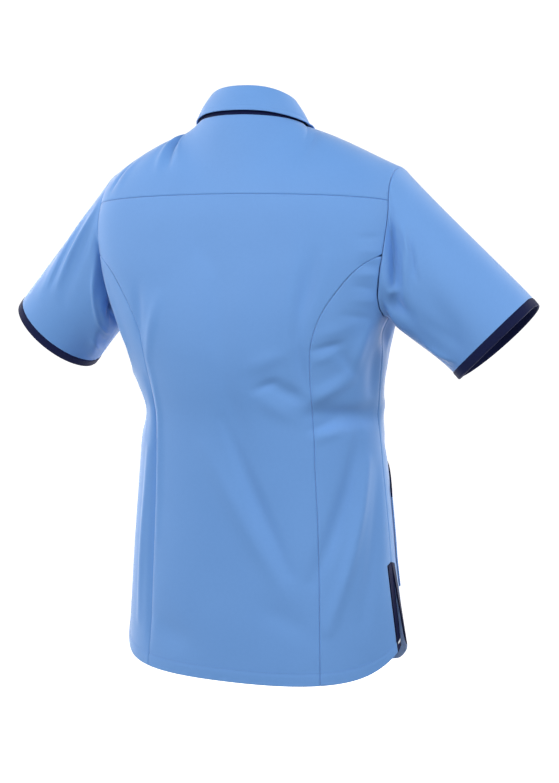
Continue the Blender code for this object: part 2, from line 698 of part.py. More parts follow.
def collar(blue, navy):
    """Navy stand and blue fall."""
    sides, shares = collar_path()
    count = len(shares)
    seam = np.zeros((count, 3))
    for i in range(count):
        seam[i] = top_line(sides[i], shares[i])[0]
    seam[0, 0] -= STAND_END
    seam[-1, 0] += STAND_END
    toward_front = np.clip(-(seam[:, 1] - NECK_CENTRE) / NECK_FRONT, 0, 1)
    sink = np.where(shares > 0, underlap(np.abs(shares)), 0) * (sides == FRONT)
    centre = np.array([0.0, NECK_CENTRE, 0.0])
    flat = seam - centre
    flat[:, 2] = 0
    outward = unit(flat)
    seam = seam - outward * sink[:, None]
    rise = unit(np.array(NECK_AXIS) - outward * STAND_LEAN)
    outward = unit(outward - rise * np.sum(outward * rise, axis=1, keepdims=True))
    near_side = ease((NECK_CENTRE + NECK_BACK - seam[:, 1]) / NECK_BACK)
    tall = STAND_BACK + (STAND_FRONT - STAND_BACK) * near_side
    steps = np.linspace(0, 1, 4)[:, None, None]
    foot = seam + rise * SEAM_GAP
    stand = foot[None] + steps * rise[None] * (tall[:, None] - SEAM_GAP)
    shell("collar_stand", stand, stand - outward[None] * WALL, navy)

    top = seam + rise * tall[:, None]
    rows = [top - outward * WALL + rise * SEAM_GAP]
    middle = top + outward * (ROLL - WALL * 0.5) + rise * (SEAM_GAP + ROLL_FOOT)
    for a in ROLL_TURNS:
        rows.append(middle + (-np.cos(a) * outward + np.sin(a) * rise) * (ROLL + WALL * 0.5))
    reach = FALL_BACK * (1 - near_side) + FALL_SIDE * near_side
    reach = reach + (FALL_POINT - FALL_SIDE) * toward_front**FALL_CURVE
    for t in FALL_STEPS:
        rows.append(fall_row(t, sides, shares, top, rise, outward, tall, reach, toward_front))
    fall = np.stack(rows)
    normal = unit(np.cross(np.gradient(fall, axis=1), np.gradient(fall, axis=0)))
    shell("collar_fall", fall, fall - normal * WALL, blue)


def beside_seam(side, s, target):
    """Place on the body, as share and height, that is nearest to a point."""
    v = TOP
    step = 1e-4
    aside = math.copysign(step, s)
    for _ in range(SEEK_STEPS):
        here = body_point(side, s, v)
        across = (body_point(side, s + aside, v) - here) / aside
        down = (here - body_point(side, s, v - step)) / step
        move = np.linalg.lstsq(np.stack([across, down], 1), target - here, rcond=None)[0]
        s = s + float(np.clip(move[0], -SEEK_ACROSS, SEEK_ACROSS))
        v = min(v + float(np.clip(move[1], -SEEK_DOWN, SEEK_DOWN)), TOP)
    return s, v


def fall_row(t, sides, shares, top, rise, outward, tall, reach, toward_front):
    """One line along the fall: it follows the stand, then the body, a little clear of both."""
    seam = top - rise * tall[:, None]
    along = unit(np.gradient(seam, axis=0))
    row = []
    for i in range(len(shares)):
        walked = t * (tall[i] + reach[i])
        over = max(walked - tall[i], 0.0)
        hand = -1 if i < len(shares) / 2 else 1
        start = shares[i] or hand * 1e-3
        face = body_normal(sides[i], start, TOP)
        away = unit(np.cross(along[i], face))
        away = away * np.sign(away @ (outward[i] - rise[i]))
        aside = -hand * along[i] * FALL_SPREAD * toward_front[i] ** FALL_CORNER
        s, v = beside_seam(sides[i], start, seam[i] + (away + aside) * over)
        seat, clear = cloth_grid(sides[i], s, v)
        turn = ease((walked - tall[i] + FALL_BEND) / (2 * FALL_BEND))
        lean = unit(outward[i] * (1 - turn) + clear * turn)
        base = top[i] - rise[i] * walked if walked < tall[i] else seat
        bulge = FALL_BULGE * math.sin(math.pi * t)
        row.append(base + lean * (ROLL * 2 * (1 - t) + FALL_CLEAR * t + bulge))
    return np.array(row)


def button(name, z, material):
    """Round button with a raised rim and a dished middle."""
    seat, normal = cloth_grid(FRONT, np.array([0.0]), np.array([z]))
    normal = normal[0]
    seat = seat[0] + normal * BUTTON_CLEAR
    side = unit(np.cross(normal, (0.0, 0.0, 1.0)))
    up = np.cross(side, normal)
    vertices = []
    rings = []
    for radius, height in zip(BUTTON_PROFILE["radius"], BUTTON_PROFILE["height"]):
        level = seat + normal * height * BUTTON_THICK
        if radius == 0.0:
            rings.append([len(vertices)])
            vertices.append(level)
            continue
        ring = []
        for k in range(BUTTON_TURNS):
            a = 2 * math.pi * k / BUTTON_TURNS
            ring.append(len(vertices))
            vertices.append(level + (side * math.cos(a) + up * math.sin(a)) * radius * BUTTON_RADIUS)
        rings.append(ring)
    faces = []
    for low, high in zip(rings, rings[1:]):
        for k in range(BUTTON_TURNS):
            n = (k + 1) % BUTTON_TURNS
            if len(low) == 1:
                faces.append((low[0], high[n], high[k]))
            elif len(high) == 1:
                faces.append((low[k], low[n], high[0]))
            else:
                faces.append((low[k], low[n], high[n], high[k]))
    add_mesh(name, vertices, faces, material)


def cloth_material(name, colour, roughness):
    """Plain material of one cloth or plastic."""
    material = bpy.data.materials.new(name)
    material.use_nodes = True
    shader = material.node_tree.nodes["Principled BSDF"]
    shader.inputs["Base Color"].default_value = (*colour, 1.0)
    shader.inputs["Roughness"].default_value = roughness
    shader.inputs["Metallic"].default_value = 0.0
    return material


def main():
    """Builds every piece in an empty scene."""
    for item in list(bpy.data.objects):
        bpy.data.objects.remove(item, do_unlink=True)
    blue = cloth_material("blue_twill", BLUE, CLOTH_ROUGHNESS)
    navy = cloth_material("navy_twill", NAVY, CLOTH_ROUGHNESS)
    plastic = cloth_material("button_plastic", BUTTON_BLUE, BUTTON_ROUGHNESS)
    back_panels(blue, navy)
    front_panels(blue, navy)
    sleeves(blue, navy)
    collar(blue, navy)
    for k in range(BUTTON_COUNT):
        button(f"button_{k + 1}", BUTTON_TOP - k * BUTTON_PITCH, plastic)


main()
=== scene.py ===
"""Looks of the fitted work tunic: cloth, bindings, seams, stitches, buttons, floor, light and camera."""

import math

import bmesh
import bpy
import numpy as np
from mathutils import Matrix, Vector


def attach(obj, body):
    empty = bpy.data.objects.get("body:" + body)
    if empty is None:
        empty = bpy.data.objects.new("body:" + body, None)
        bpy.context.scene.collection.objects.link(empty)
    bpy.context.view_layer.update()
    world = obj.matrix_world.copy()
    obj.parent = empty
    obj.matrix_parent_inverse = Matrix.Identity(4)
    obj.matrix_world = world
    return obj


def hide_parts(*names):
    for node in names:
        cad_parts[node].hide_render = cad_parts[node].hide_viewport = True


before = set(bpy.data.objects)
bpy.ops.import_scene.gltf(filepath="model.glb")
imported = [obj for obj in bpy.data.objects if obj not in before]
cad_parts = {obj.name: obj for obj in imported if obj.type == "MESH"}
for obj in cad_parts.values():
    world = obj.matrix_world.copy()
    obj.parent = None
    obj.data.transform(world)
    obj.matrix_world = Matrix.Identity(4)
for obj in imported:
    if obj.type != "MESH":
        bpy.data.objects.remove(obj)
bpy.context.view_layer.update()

bl_info = {
    "name": "Work tunic",
    "version": (1, 0, 0),
    "blender": (4, 5, 0),
    "location": "3D View > Sidebar > Tunic",
    "description": "Builds the cloth, trims, stitches, buttons and studio of a work tunic",
    "category": "Add Mesh",
}

FRONT = -1
BACK = 1
LEFT = 1
RIGHT = -1

# Share of the cloth's thickness by which a piece stops short of its seam line, so that rounded rims meet
SEAM_ROOM = 0.36
HANDS = ((LEFT, "left"), (RIGHT, "right"))


def table(names, *rows):
    """Rows of sizes as one array for each named column."""
    return dict(zip(names.split(), np.array(rows, float).T))


# Heights on the body, from the neck base
HEM_CENTRE = -0.6744
HEM_RISE_BACK = 0.043
HEM_RISE_FRONT = 0.0496
HEM_POWER = 3.6
HEM_REACH = 1.2
VENT_TOP = -0.530
VENT_FLARE_BACK = 0.007
VENT_FLARE_FRONT = 0.012
UNDERARM = -0.232
YOKE_SEAM = -0.092
YOKE_ARCH = 0.009
YOKE_ARCH_FOOT = -0.160
VENT_REACH = 0.16
VENT_SPREAD = 0.0022
BINDING_TIP = 0.0012
BINDING_MITRE = 0.004
FRONT_BASE = -0.112
TOP = 0.0

# Neck and shoulder
NECK_S = 0.375
NECK_HALF = 0.070
NECK_CENTRE = 0.024
NECK_BACK = 0.052
NECK_FRONT = 0.068
NECK_BACK_RISE = 0.013
NECK_BACK_POWER = 0.7
NECK_FRONT_DROP = 0.072
SHOULDER_TIP = (0.193, 0.012, -0.052)
SHOULDER_BUMP = 0.005
SHOULDER_DRAW = 0.9
NECK_CROWD = 1.3
NECK_FRONT_POWER = 1.4
NECK_LEAN = 0.35
NECK_RISE = 0.94
NECK_BLEND = 0.25
SHOULDER_LENGTH = 0.13
SHOULDER_SLOPE = 0.12
DRAW_REACH = 0.3
SHOULDER_PULL = 1.15
FOOT_STEP = 0.004

# Collar
COLLAR_STATIONS = 17
STAND_WALL = 0.0012
STAND_BACK = 0.036
STAND_FRONT = 0.028
STAND_LEAN = 0.58
STAND_END = 0.0008
NECK_AXIS = (0.0, -0.05, 0.98)
ROLL = 0.0026
ROLL_FOOT = 0.0008
ROLL_TURNS = np.radians([0, 30, 60, 90, 120, 150])
FALL_BACK = -0.0040
FALL_SIDE = 0.004
FALL_POINT = 0.040
FALL_SPREAD = 0.45
FALL_CLEAR = 0.0042
FALL_BULGE = 0.0012
FALL_CURVE = 1.3
FALL_CORNER = 4
FALL_BEND = 0.008
FALL_WALL = 0.0014
FALL_WALL_BUILT = 0.0015
FALL_GAP = 0.0003
FALL_STITCH_DEPTH = 0.0003
FALL_STITCH_IN = 0.005
STITCH_GROOVE = 0.0009
FALL_STEPS = (0.10, 0.22, 0.36, 0.5, 0.64, 0.76, 0.88, 1.0)

# Sleeve ends: direction of the sleeve, and the middle and half sizes of each end
CUFF_AXIS = (0.674, -0.048, -0.738)
CUFF_UP = (0.733, 0.170, 0.658)
CUFFS = table(
    "hand x y z half_tall half_deep back_drop",
    (LEFT, 0.2960, 0.0035, -0.2530, 0.0635, 0.0575, 0.000),
    (RIGHT, 0.3050, 0.0035, -0.2500, 0.0650, 0.0570, 0.008),
)
SLEEVE_PULL = 0.6
SLEEVE_LENGTH = 0.19
SETTLE_START = 0.05
SETTLE_END = 0.25
ARMHOLE_BLEND = 0.03

# Section of a sleeve end's binding: distance past the cloth's edge and height above its face
CUFF_SECTION = table(
    "along out",
    (-0.0012, 0.00012),
    (0.0002, 0.0006),
    (0.0015, 0.0007),
    (0.0030, 0.0006),
    (0.0050, 0.0006),
    (0.0070, 0.0006),
    (0.0085, 0.00055),
    (0.0096, 0.0003),
)
CUFF_INNER = 0.0016

# Vent bindings: their thickness, height above the cloth, and gaps at the slit and at the cloth
BINDING_WALL = 0.0019
BINDING_OVER = 0.0005
SLIT_GAP = 0.0010
CLOTH_GAP = 0.0008

# Hem: extra thickness of its turn, depth of the stitched groove, and the pucker where a seam crosses it
HEM_EXTRA = 0.0004
HEM_STEP = 0.0012
HEM_GROOVE = 0.0004
PUCKER_DEPTH = 0.0005
PUCKER_PITCH = 0.0045
PUCKER_REACH = 0.03

# A share past the side, for a panel whose hem no seam crosses
NO_SEAM = 2.0

# How far below the end of the princess seam the rows of a side back stop
SEAM_STOP = 0.0004

# Front opening, buttons and hip pockets
OVERLAP_S = 0.0625
UNDERLAP_SINK = 0.0021
UNDERLAP_REACH = 0.16
PLACKET_S = 0.115
PLACKET_DIP = 0.0004
PLACKET_WIDTH = 0.006
BUTTON_SEAT = 0.0004
BUTTON_HOLE = 0.00075
BUTTON_HOLE_OUT = 0.0013
BUTTON_THREAD_UP = 0.0018
BUTTON_THREAD_APART = 0.00018
BUTTON_TURNS = 48
BUTTON_THICK = 0.0026
BUTTON_TOP = -0.105
BUTTON_PITCH = 0.088
BUTTON_COUNT = 6
POCKET_IN = 0.375
POCKET_OUT = 0.875
POCKET_BOTTOM = -0.5730
POCKET_LOW = -0.452
POCKET_HIGH = -0.385
POCKET_SLANT = 0.65
POCKET_OVER = 0.0019
POCKET_BINDING_OVER = 0.0022
POCKET_BINDING_WALL = 0.0017
POCKET_BINDING_FOOT = 0.0012
POCKET_HEM = 0.0004
POCKET_STITCH_IN = 0.002

# Metres of front to a share of the half body at the pockets
FRONT_SHARE = 0.26

# Mesh: steps beside a seam and beside a binding's edge, widths that set the columns, and counts of rows
SEAM_STEPS = (0.0009, 0.0016, 0.0028, 0.0045)
EDGE_STEPS = (0.0005,)
EDGE_CELL = 0.0012
VENT_SPAN = 0.010
MOUTH_SPAN = 0.011
PANEL_WIDTH = 0.26
SIDE_WIDTH = 0.12
POCKET_WIDTH = 0.13
POCKET_HEIGHT = 0.15
NECK_COLUMNS = 30
MITRE_ROWS = 6
TIP_ROWS = 8
UNDERARM_RISE = 0.020
UNDERARM_ROWS = 16
ARMHOLE_ROWS = 20
ARMHOLE_STEPS = 120
SLEEVE_COLUMNS = 84
COLLAR_COLUMNS = 180
STAND_ROWS = 16
FALL_ROWS = 60
SEEK_ROUNDS = 14
SEEK_ACROSS = 0.05
SEEK_DOWN = 0.02

# Stitches: sewing thread is about 0.25 mm thick, and is drawn 0.44 mm thick so that it shows
THREAD_RADIUS = 0.00022
STITCH_SHARE = 0.78
STITCH_TURNS = 5
HEM_SEWN = 0.93
TACK_BARS = 5
TACK_STEP = 0.0007
TACK_LENGTH = 0.0045
TACK_RADIUS = 0.0004
TACK_UP = 0.011
TACK_OVER = 0.0008

# A stitch from end to end: share of its length, share of the thread's radius, and height in radii
STITCH_SECTION = table(
    "along radius up",
    (0.0, 0.35, -0.3),
    (0.25, 1.0, 0.5),
    (0.75, 1.0, 0.5),
    (1.0, 0.35, -0.3),
)

# Twill ribs are about 0.4 mm apart on such cloth, too fine to show, so they are drawn 0.9 mm apart
RIB = 0.0009
RIB_SLANT = math.radians(63)

# The plies of the thread show about every 0.5 mm along it, and are drawn 0.7 mm apart so that they show
PLY = 0.0007

# Distance between the bands of a wave texture at scale one
WAVE_BAND = math.pi / 10

# Patches of thicker yarn, slow clouds in the dye, and clouds in the button resin
YARN_PATCH = 0.004
DYE_CLOUD = 0.12
RESIN_CLOUD = 0.006

# Profile of a button from its back to its face, as shares of its radius and thickness
BUTTON_PROFILE = table(
    "radius height",
    (0, 0),
    (0.78, 0),
    (0.95, 0.2),
    (1, 0.5),
    (0.97, 0.85),
    (0.88, 1.0),
    (0.76, 0.98),
    (0.66, 0.72),
    (0.55, 0.66),
    (0, 0.66),
)

# Sections of the body: half width, depth behind and before the side line, its place, and squareness
RINGS = table(
    "z half_width back front centre squareness",
    (-0.700, 0.1845, 0.105, 0.114, 0.001, 2.12),
    (-0.600, 0.1800, 0.104, 0.111, 0.001, 2.12),
    (-0.520, 0.1755, 0.103, 0.107, 0.001, 2.12),
    (-0.450, 0.1690, 0.103, 0.103, 0.001, 2.12),
    (-0.390, 0.1630, 0.105, 0.098, 0.002, 2.12),
    (-0.350, 0.1605, 0.107, 0.097, 0.004, 2.12),
    (-0.310, 0.1655, 0.107, 0.102, 0.011, 2.15),
    (-0.270, 0.1735, 0.103, 0.109, 0.020, 2.25),
    (-0.232, 0.1840, 0.098, 0.114, 0.025, 2.40),
    (-0.190, 0.1990, 0.094, 0.108, 0.025, 2.60),
    (-0.155, 0.2080, 0.092, 0.099, 0.023, 2.80),
    (-0.110, 0.2110, 0.087, 0.088, 0.021, 2.90),
    (-0.080, 0.2050, 0.079, 0.080, 0.020, 3.00),
)

# Armhole edge: degrees from the centre line, behind and before
ARMHOLE = table(
    "z back front",
    (-0.2320, 90.0, 90.0),
    (-0.2295, 82.0, 82.0),
    (-0.2230, 74.5, 74.0),
    (-0.2100, 67.5, 66.5),
    (-0.1880, 62.5, 61.0),
    (-0.1550, 59.5, 58.0),
    (-0.1120, 59.8, 58.5),
    (-0.0920, 61.0, 59.0),
    (-0.0800, 61.5, 59.5),
)

# Princess seams of the back: degrees from the centre line
PRINCESS = table(
    "z turn",
    (-0.7000, 39.6),
    (-0.6000, 40.0),
    (-0.5000, 40.6),
    (-0.4200, 41.2),
    (-0.3500, 42.2),
    (-0.3000, 40.4),
    (-0.2650, 39.2),
    (-0.2350, 40.0),
    (-0.2100, 42.2),
    (-0.1970, 44.0),
    (-0.1840, 46.2),
    (-0.1720, 49.2),
    (-0.1630, 53.2),
    (-0.1545, 59.6),
)
PRINCESS_TOP = -0.1545

# Metres of cloth to a degree round the body and round a sleeve, and the strength of a fold at its ends
BODY_DEGREE = 0.0027
SLEEVE_DEGREE = 0.00105
FOLD_END = 0.35

# Folds of the body: ends in degrees round from the back centre, wearer's left positive, and height
BODY_FOLDS = table(
    "turn_a z_a turn_b z_b width lift",
    (-86, -0.350, -42, -0.347, 0.012, -0.0082),
    (-62, -0.300, -40, -0.330, 0.010, 0.0046),
    (-67, -0.245, -62, -0.296, 0.012, 0.0040),
    (-80, -0.262, -80, -0.330, 0.020, -0.0045),
    (-68, -0.372, -38, -0.545, 0.010, -0.0052),
    (-73, -0.405, -44, -0.605, 0.009, 0.0052),
    (-82, -0.420, -62, -0.600, 0.014, -0.0045),
    (-26, -0.140, -27, -0.270, 0.011, 0.0020),
    (-32, -0.155, -33, -0.250, 0.007, -0.0040),
    (-33, -0.250, -38, -0.310, 0.007, -0.0034),
    (-22, -0.308, -40, -0.330, 0.009, -0.0034),
    (-17, -0.326, -34, -0.350, 0.010, 0.0018),
    (-1, -0.355, -27, -0.536, 0.009, -0.0042),
    (8, -0.392, -26, -0.562, 0.012, 0.0032),
    (42, -0.310, 40, -0.640, 0.006, -0.0046),
    (48, -0.400, 50, -0.620, 0.007, 0.0036),
    (37, -0.285, 36, -0.510, 0.006, 0.0030),
    (60, -0.180, 58, -0.290, 0.013, 0.0030),
    (54, -0.352, 100, -0.342, 0.025, -0.0080),
    (-84, -0.240, -100, -0.262, 0.018, -0.0060),
    (100, -0.300, 150, -0.345, 0.016, -0.0030),
    (-105, -0.310, -148, -0.350, 0.016, -0.0030),
)

# Finer creases of the body, in the same measure
BODY_CREASES = table(
    "turn_a z_a turn_b z_b width lift",
    (-46, -0.137, -57, -0.135, 0.0035, -0.0012),
    (-47, -0.151, -58, -0.152, 0.0040, 0.0013),
    (-48, -0.166, -60, -0.170, 0.0035, -0.0014),
    (-49, -0.178, -61, -0.180, 0.0040, 0.0012),
    (-50, -0.192, -62, -0.196, 0.0035, -0.0013),
    (-52, -0.207, -68, -0.211, 0.0045, 0.0012),
    (-50, -0.226, -68, -0.231, 0.0050, -0.0013),
    (-40, -0.268, -54, -0.260, 0.0045, -0.0026),
    (-42, -0.281, -50, -0.274, 0.0045, 0.0012),
    (-50, -0.262, -66, -0.300, 0.0080, -0.0018),
    (-41, -0.250, -56, -0.240, 0.0080, 0.0014),
    (-40, -0.364, -54, -0.354, 0.0050, -0.0026),
    (-41, -0.376, -58, -0.364, 0.0060, 0.0016),
    (10, -0.131, 0, -0.180, 0.0120, -0.0018),
    (-1, -0.185, -3, -0.300, 0.0130, -0.0020),
    (-3, -0.310, -12, -0.400, 0.0120, -0.0024),
    (-16, -0.317, -26, -0.306, 0.0050, -0.0026),
    (-14, -0.290, -28, -0.272, 0.0090, 0.0020),
    (34, -0.610, 16, -0.636, 0.0180, -0.0026),
    (24, -0.205, 37, -0.282, 0.0060, 0.0030),
    (33, -0.190, 39, -0.255, 0.0070, -0.0030),
    (-37, -0.160, -38, -0.235, 0.0070, 0.0016),
    (-16, -0.580, -36, -0.610, 0.0140, -0.0018),
    (60, -0.270, 84, -0.300, 0.0080, -0.0020),
    (62, -0.300, 86, -0.318, 0.0080, 0.0018),
    (96, -0.330, 126, -0.318, 0.0080, 0.0018),
    (-96, -0.345, -128, -0.330, 0.0090, 0.0018),
    (98, -0.372, 140, -0.420, 0.0110, -0.0020),
    (-99, -0.380, -142, -0.430, 0.0110, -0.0020),
    (112, -0.236, 138, -0.222, 0.0090, -0.0018),
    (-110, -0.240, -140, -0.226, 0.0090, -0.0018),
    (118, -0.200, 150, -0.300, 0.0140, 0.0018),
    (-118, -0.205, -152, -0.305, 0.0140, 0.0018),
    (164, -0.150, 158, -0.260, 0.0120, -0.0014),
    (-165, -0.160, -160, -0.270, 0.0120, -0.0014),
)

# Creases of the shoulders: ends as shares of one side and heights past the yoke seam, on the back or front
SHOULDER_CREASES = table(
    "side s_a v_a s_b v_b width lift",
    (BACK, 0.45, -0.004, 0.37, -0.060, 0.0050, -0.0035),
    (BACK, 0.50, -0.010, 0.44, -0.066, 0.0060, 0.0030),
    (BACK, 0.36, -0.010, 0.30, -0.050, 0.0060, 0.0014),
    (BACK, 0.77, -0.038, 0.80, -0.080, 0.0045, -0.0032),
    (BACK, 0.70, -0.048, 0.72, -0.082, 0.0070, 0.0022),
    (BACK, -0.48, -0.010, -0.40, -0.062, 0.0080, -0.0014),
    (FRONT, 0.46, -0.006, 0.40, -0.060, 0.0070, -0.0020),
    (FRONT, -0.46, -0.006, -0.40, -0.060, 0.0070, -0.0020),
)
SHOULDER_WIDTH = 0.22
SHOULDER_RISE = 1.3
CREASE_START = 0.02
CREASE_STOP = 0.004

# Largest folds of the sleeves: degrees up from the underarm seam, behind positive, and share of the length
SLEEVE_FOLDS = {
    LEFT: table(
        "turn_a along_a turn_b along_b width lift",
        (78, 0.03, 12, 0.19, 0.014, -0.0340),
        (128, 0.12, 107, 0.60, 0.010, 0.0035),
        (116, 0.10, 90, 0.60, 0.010, -0.0030),
        (148, 0.30, 124, 0.75, 0.010, 0.0025),
        (30, 0.45, 20, 0.95, 0.010, 0.0030),
        (-60, 0.05, -38, 0.75, 0.014, -0.0045),
        (-110, 0.10, -75, 0.65, 0.013, 0.0035),
    ),
    RIGHT: table(
        "turn_a along_a turn_b along_b width lift",
        (112, 0.02, 56, 0.24, 0.013, -0.0090),
        (116, 0.20, 62, 0.34, 0.008, 0.0045),
        (42, 0.08, 54, 0.42, 0.010, -0.0065),
        (88, 0.45, 78, 0.92, 0.014, -0.0030),
        (34, 0.55, 60, 0.98, 0.010, 0.0035),
        (-34, 0.07, 24, 0.09, 0.015, -0.0130),
        (-60, 0.05, -38, 0.75, 0.014, -0.0045),
        (-110, 0.10, -75, 0.65, 0.013, 0.0035),
    ),
}

# Finer creases of each sleeve
SLEEVE_CREASES = {
    LEFT: table(
        "turn_a along_a turn_b along_b width lift",
        (82, 0.09, 34, 0.40, 0.0050, 0.0045),
        (60, 0.03, 22, 0.14, 0.0080, -0.0060),
        (128, 0.12, 108, 0.58, 0.0040, 0.0018),
        (122, 0.16, 100, 0.56, 0.0040, -0.0012),
        (140, 0.34, 122, 0.66, 0.0035, 0.0014),
        (136, 0.40, 116, 0.66, 0.0035, -0.0012),
        (58, 0.14, 40, 0.16, 0.0030, 0.0022),
        (30, 0.40, 8, 0.44, 0.0050, 0.0020),
        (26, 0.52, 6, 0.58, 0.0050, -0.0018),
        (30, 0.62, 8, 0.74, 0.0050, 0.0016),
    ),
    RIGHT: table(
        "turn_a along_a turn_b along_b width lift",
        (104, 0.06, 62, 0.20, 0.0050, -0.0030),
        (114, 0.18, 98, 0.31, 0.0035, 0.0024),
        (112, 0.25, 90, 0.37, 0.0035, -0.0028),
        (50, 0.14, 68, 0.28, 0.0035, 0.0032),
        (38, 0.14, 50, 0.32, 0.0045, -0.0022),
        (62, 0.52, 78, 0.88, 0.0080, -0.0016),
        (38, 0.62, 58, 0.92, 0.0040, 0.0018),
        (30, 0.66, 46, 0.90, 0.0040, -0.0012),
    ),
}

# Softboxes: metres from the middle of the tunic to the viewer's left, toward the viewer and up; size, watts
VIEW_LEFT = (0.8956, 0.4448, 0.0)
VIEW_BACK = (-0.4448, 0.8956, 0.0)
SOFTBOXES = (
    ("key_softbox", 0.0, 2.2, 1.6, 1.4, 13.5),
    ("key_left_softbox", 1.8, 1.6, 1.4, 1.2, 22.5),
    ("key_right_softbox", -1.8, 1.6, 1.4, 1.4, 34.8),
    ("raking_softbox", 2.3, 0.8, 0.9, 0.9, 13.5),
    ("low_softbox", 0.0, 2.4, -0.5, 1.4, 8.5),
    ("side_left_softbox", 2.6, 0.5, 0.1, 1.0, 3.5),
    ("rim_left_softbox", 2.2, -1.3, 0.1, 1.2, 12.8),
    ("high_left_softbox", 1.8, -1.2, 1.6, 1.4, 24.0),
    ("rim_right_softbox", -2.0, -1.6, -0.1, 1.2, 12.7),
    ("high_right_softbox", -1.8, -1.2, 1.6, 1.4, 24.9),
    ("rear_left_softbox", 1.2, -2.4, 0.2, 1.2, 31.2),
    ("rear_right_softbox", -1.2, -2.4, 0.0, 1.2, 13.0),
    ("edge_right_softbox", -2.5, -0.3, 0.3, 1.0, 4.1),
    ("behind_softbox", 0.0, -3.0, 0.4, 3.0, 13.4),
)
AMBIENT = 0.166
WHITE = (1.0, 1.0, 1.0, 1.0)
WHITE_GLOW = 1.1
FLOOR_HEIGHT = -1.42
FLOOR_SIZE = 60
LIGHT_AIM = (0.0, 0.03, -0.33)

# Camera: place, direction and clipping in metres, lens and film width in millimetres
CAMERA_PLACE = (-1.0045, 1.9752, -0.1445)
CAMERA_FORWARD = (0.4433, -0.8926, -0.0823)
CAMERA_LENS = 81.35
CAMERA_SENSOR = 36.0
CAMERA_NEAR = 0.1
CAMERA_FAR = 60.0


def hermite(a, along_a, b, along_b, t):
    """A smooth curve from a to b that leaves and arrives in the directions given."""
    start = (1 + 2 * t) * (1 - t) ** 2 * a + t * (1 - t) ** 2 * along_a
    end = t * t * (3 - 2 * t) * b + t * t * (t - 1) * along_b
    return start + end


def smooth(rows, key, name, at):
    """A column's value at any place along the key column, on a smooth curve through the rows."""
    x = rows[key]
    y = rows[name]
    slope = np.gradient(y, x)
    at = np.clip(at, x[0], x[-1])
    i = np.clip(np.searchsorted(x, at, side="right") - 1, 0, len(x) - 2)
    h = x[i + 1] - x[i]
    return hermite(y[i], h * slope[i], y[i + 1], h * slope[i + 1], (at - x[i]) / h)


def unit(v):
    """Vectors of length one."""
    v = np.asarray(v, float)
    return v / np.maximum(np.linalg.norm(v, axis=-1, keepdims=True), 1e-12)


def ease(t):
    """A share from 0 to 1 that starts and stops gently."""
    t = np.clip(t, 0.0, 1.0)
    return t * t * (3 - 2 * t)


def bell(distance, width):
    """One on a line, fading smoothly to nothing a few widths away from it."""
    return np.exp(-((distance / width) ** 2))


def edge_angle(side, z):
    """Angle from the centre line to the side seam, or to the armhole above the underarm."""
    column = "back" if side == BACK else "front"
    armhole = smooth(ARMHOLE, "z", column, z)
    return np.radians(np.where(z <= UNDERARM, 90.0, armhole))


def ring_point(side, angle, z):
    """Point of a body section, the angle measured from the centre line of the front or back."""
    half = smooth(RINGS, "z", "half_width", z)
    depth = smooth(RINGS, "z", "back" if side == BACK else "front", z)
    centre = smooth(RINGS, "z", "centre", z)
    power = smooth(RINGS, "z", "squareness", z)
    across = np.sin(angle)
    out = np.cos(angle)
    reach = (np.abs(across) ** power + np.abs(out) ** power) ** (-1 / power)
    return np.stack([half * across * reach, centre + side * depth * out * reach, z + 0 * across], -1)


def lower_body(side, s, v):
    """Body below the yoke seam: s is the share of the way to the side, v the height at the centre line."""
    angle = s * edge_angle(side, v)
    drop = np.clip((VENT_TOP - v) / (VENT_TOP - HEM_CENTRE), 0.0, HEM_REACH)
    rise = HEM_RISE_BACK if side == BACK else HEM_RISE_FRONT
    z = v + rise * np.abs(angle / (math.pi / 2)) ** HEM_POWER * drop
    if side == BACK:
        z = z + YOKE_ARCH * (1 - s * s) * ease((v - YOKE_ARCH_FOOT) / (YOKE_SEAM - YOKE_ARCH_FOOT))
    point = ring_point(side, angle, v)
    point[..., 2] = z
    return point


def top_line(side, s):
    """Neck seam and shoulder seam, and the direction in which the cloth arrives there."""
    u = np.abs(s)
    a = 0.5 * math.pi * (1 - (1 - np.clip(u / NECK_S, 0, 1)) ** NECK_CROWD)
    w = np.clip((u - NECK_S) / (1 - NECK_S), 0, 1) ** NECK_CROWD
    reach = NECK_BACK if side == BACK else -NECK_FRONT
    level = np.maximum(np.cos(a), 0)
    back_rise = NECK_BACK_RISE * level**NECK_BACK_POWER
    front_rise = -NECK_FRONT_DROP * level**NECK_FRONT_POWER
    rise = back_rise if side == BACK else front_rise
    x = np.where(u < NECK_S, NECK_HALF * np.sin(a), NECK_HALF + (SHOULDER_TIP[0] - NECK_HALF) * w)
    seam_y = NECK_CENTRE + (SHOULDER_TIP[1] - NECK_CENTRE) * w
    y = np.where(u < NECK_S, NECK_CENTRE + reach * np.cos(a), seam_y)
    bump = SHOULDER_BUMP * np.sin(math.pi * w) * (1 - w)
    z = np.where(u < NECK_S, rise, SHOULDER_TIP[2] * w + bump)
    hand = np.sign(s)
    rising = np.stack([-hand * np.sin(a) * NECK_LEAN, -side * np.cos(a) * NECK_LEAN, NECK_RISE + 0 * a], -1)
    inward = SHOULDER_DRAW * (1 - ease((u - NECK_S) / DRAW_REACH))
    seam_x = (SHOULDER_TIP[0] - NECK_HALF) / SHOULDER_LENGTH
    seam_z = SHOULDER_TIP[2] / SHOULDER_LENGTH
    over = np.stack([-hand * inward * seam_x, -side + 0 * u, -inward * seam_z - side * SHOULDER_SLOPE], -1)
    blend = ease((u / NECK_S - NECK_BLEND) / (1 - NECK_BLEND))[..., None]
    arrive = unit(unit(rising) * (1 - blend) + unit(over) * blend)
    return np.stack([hand * x, y, z], -1), arrive


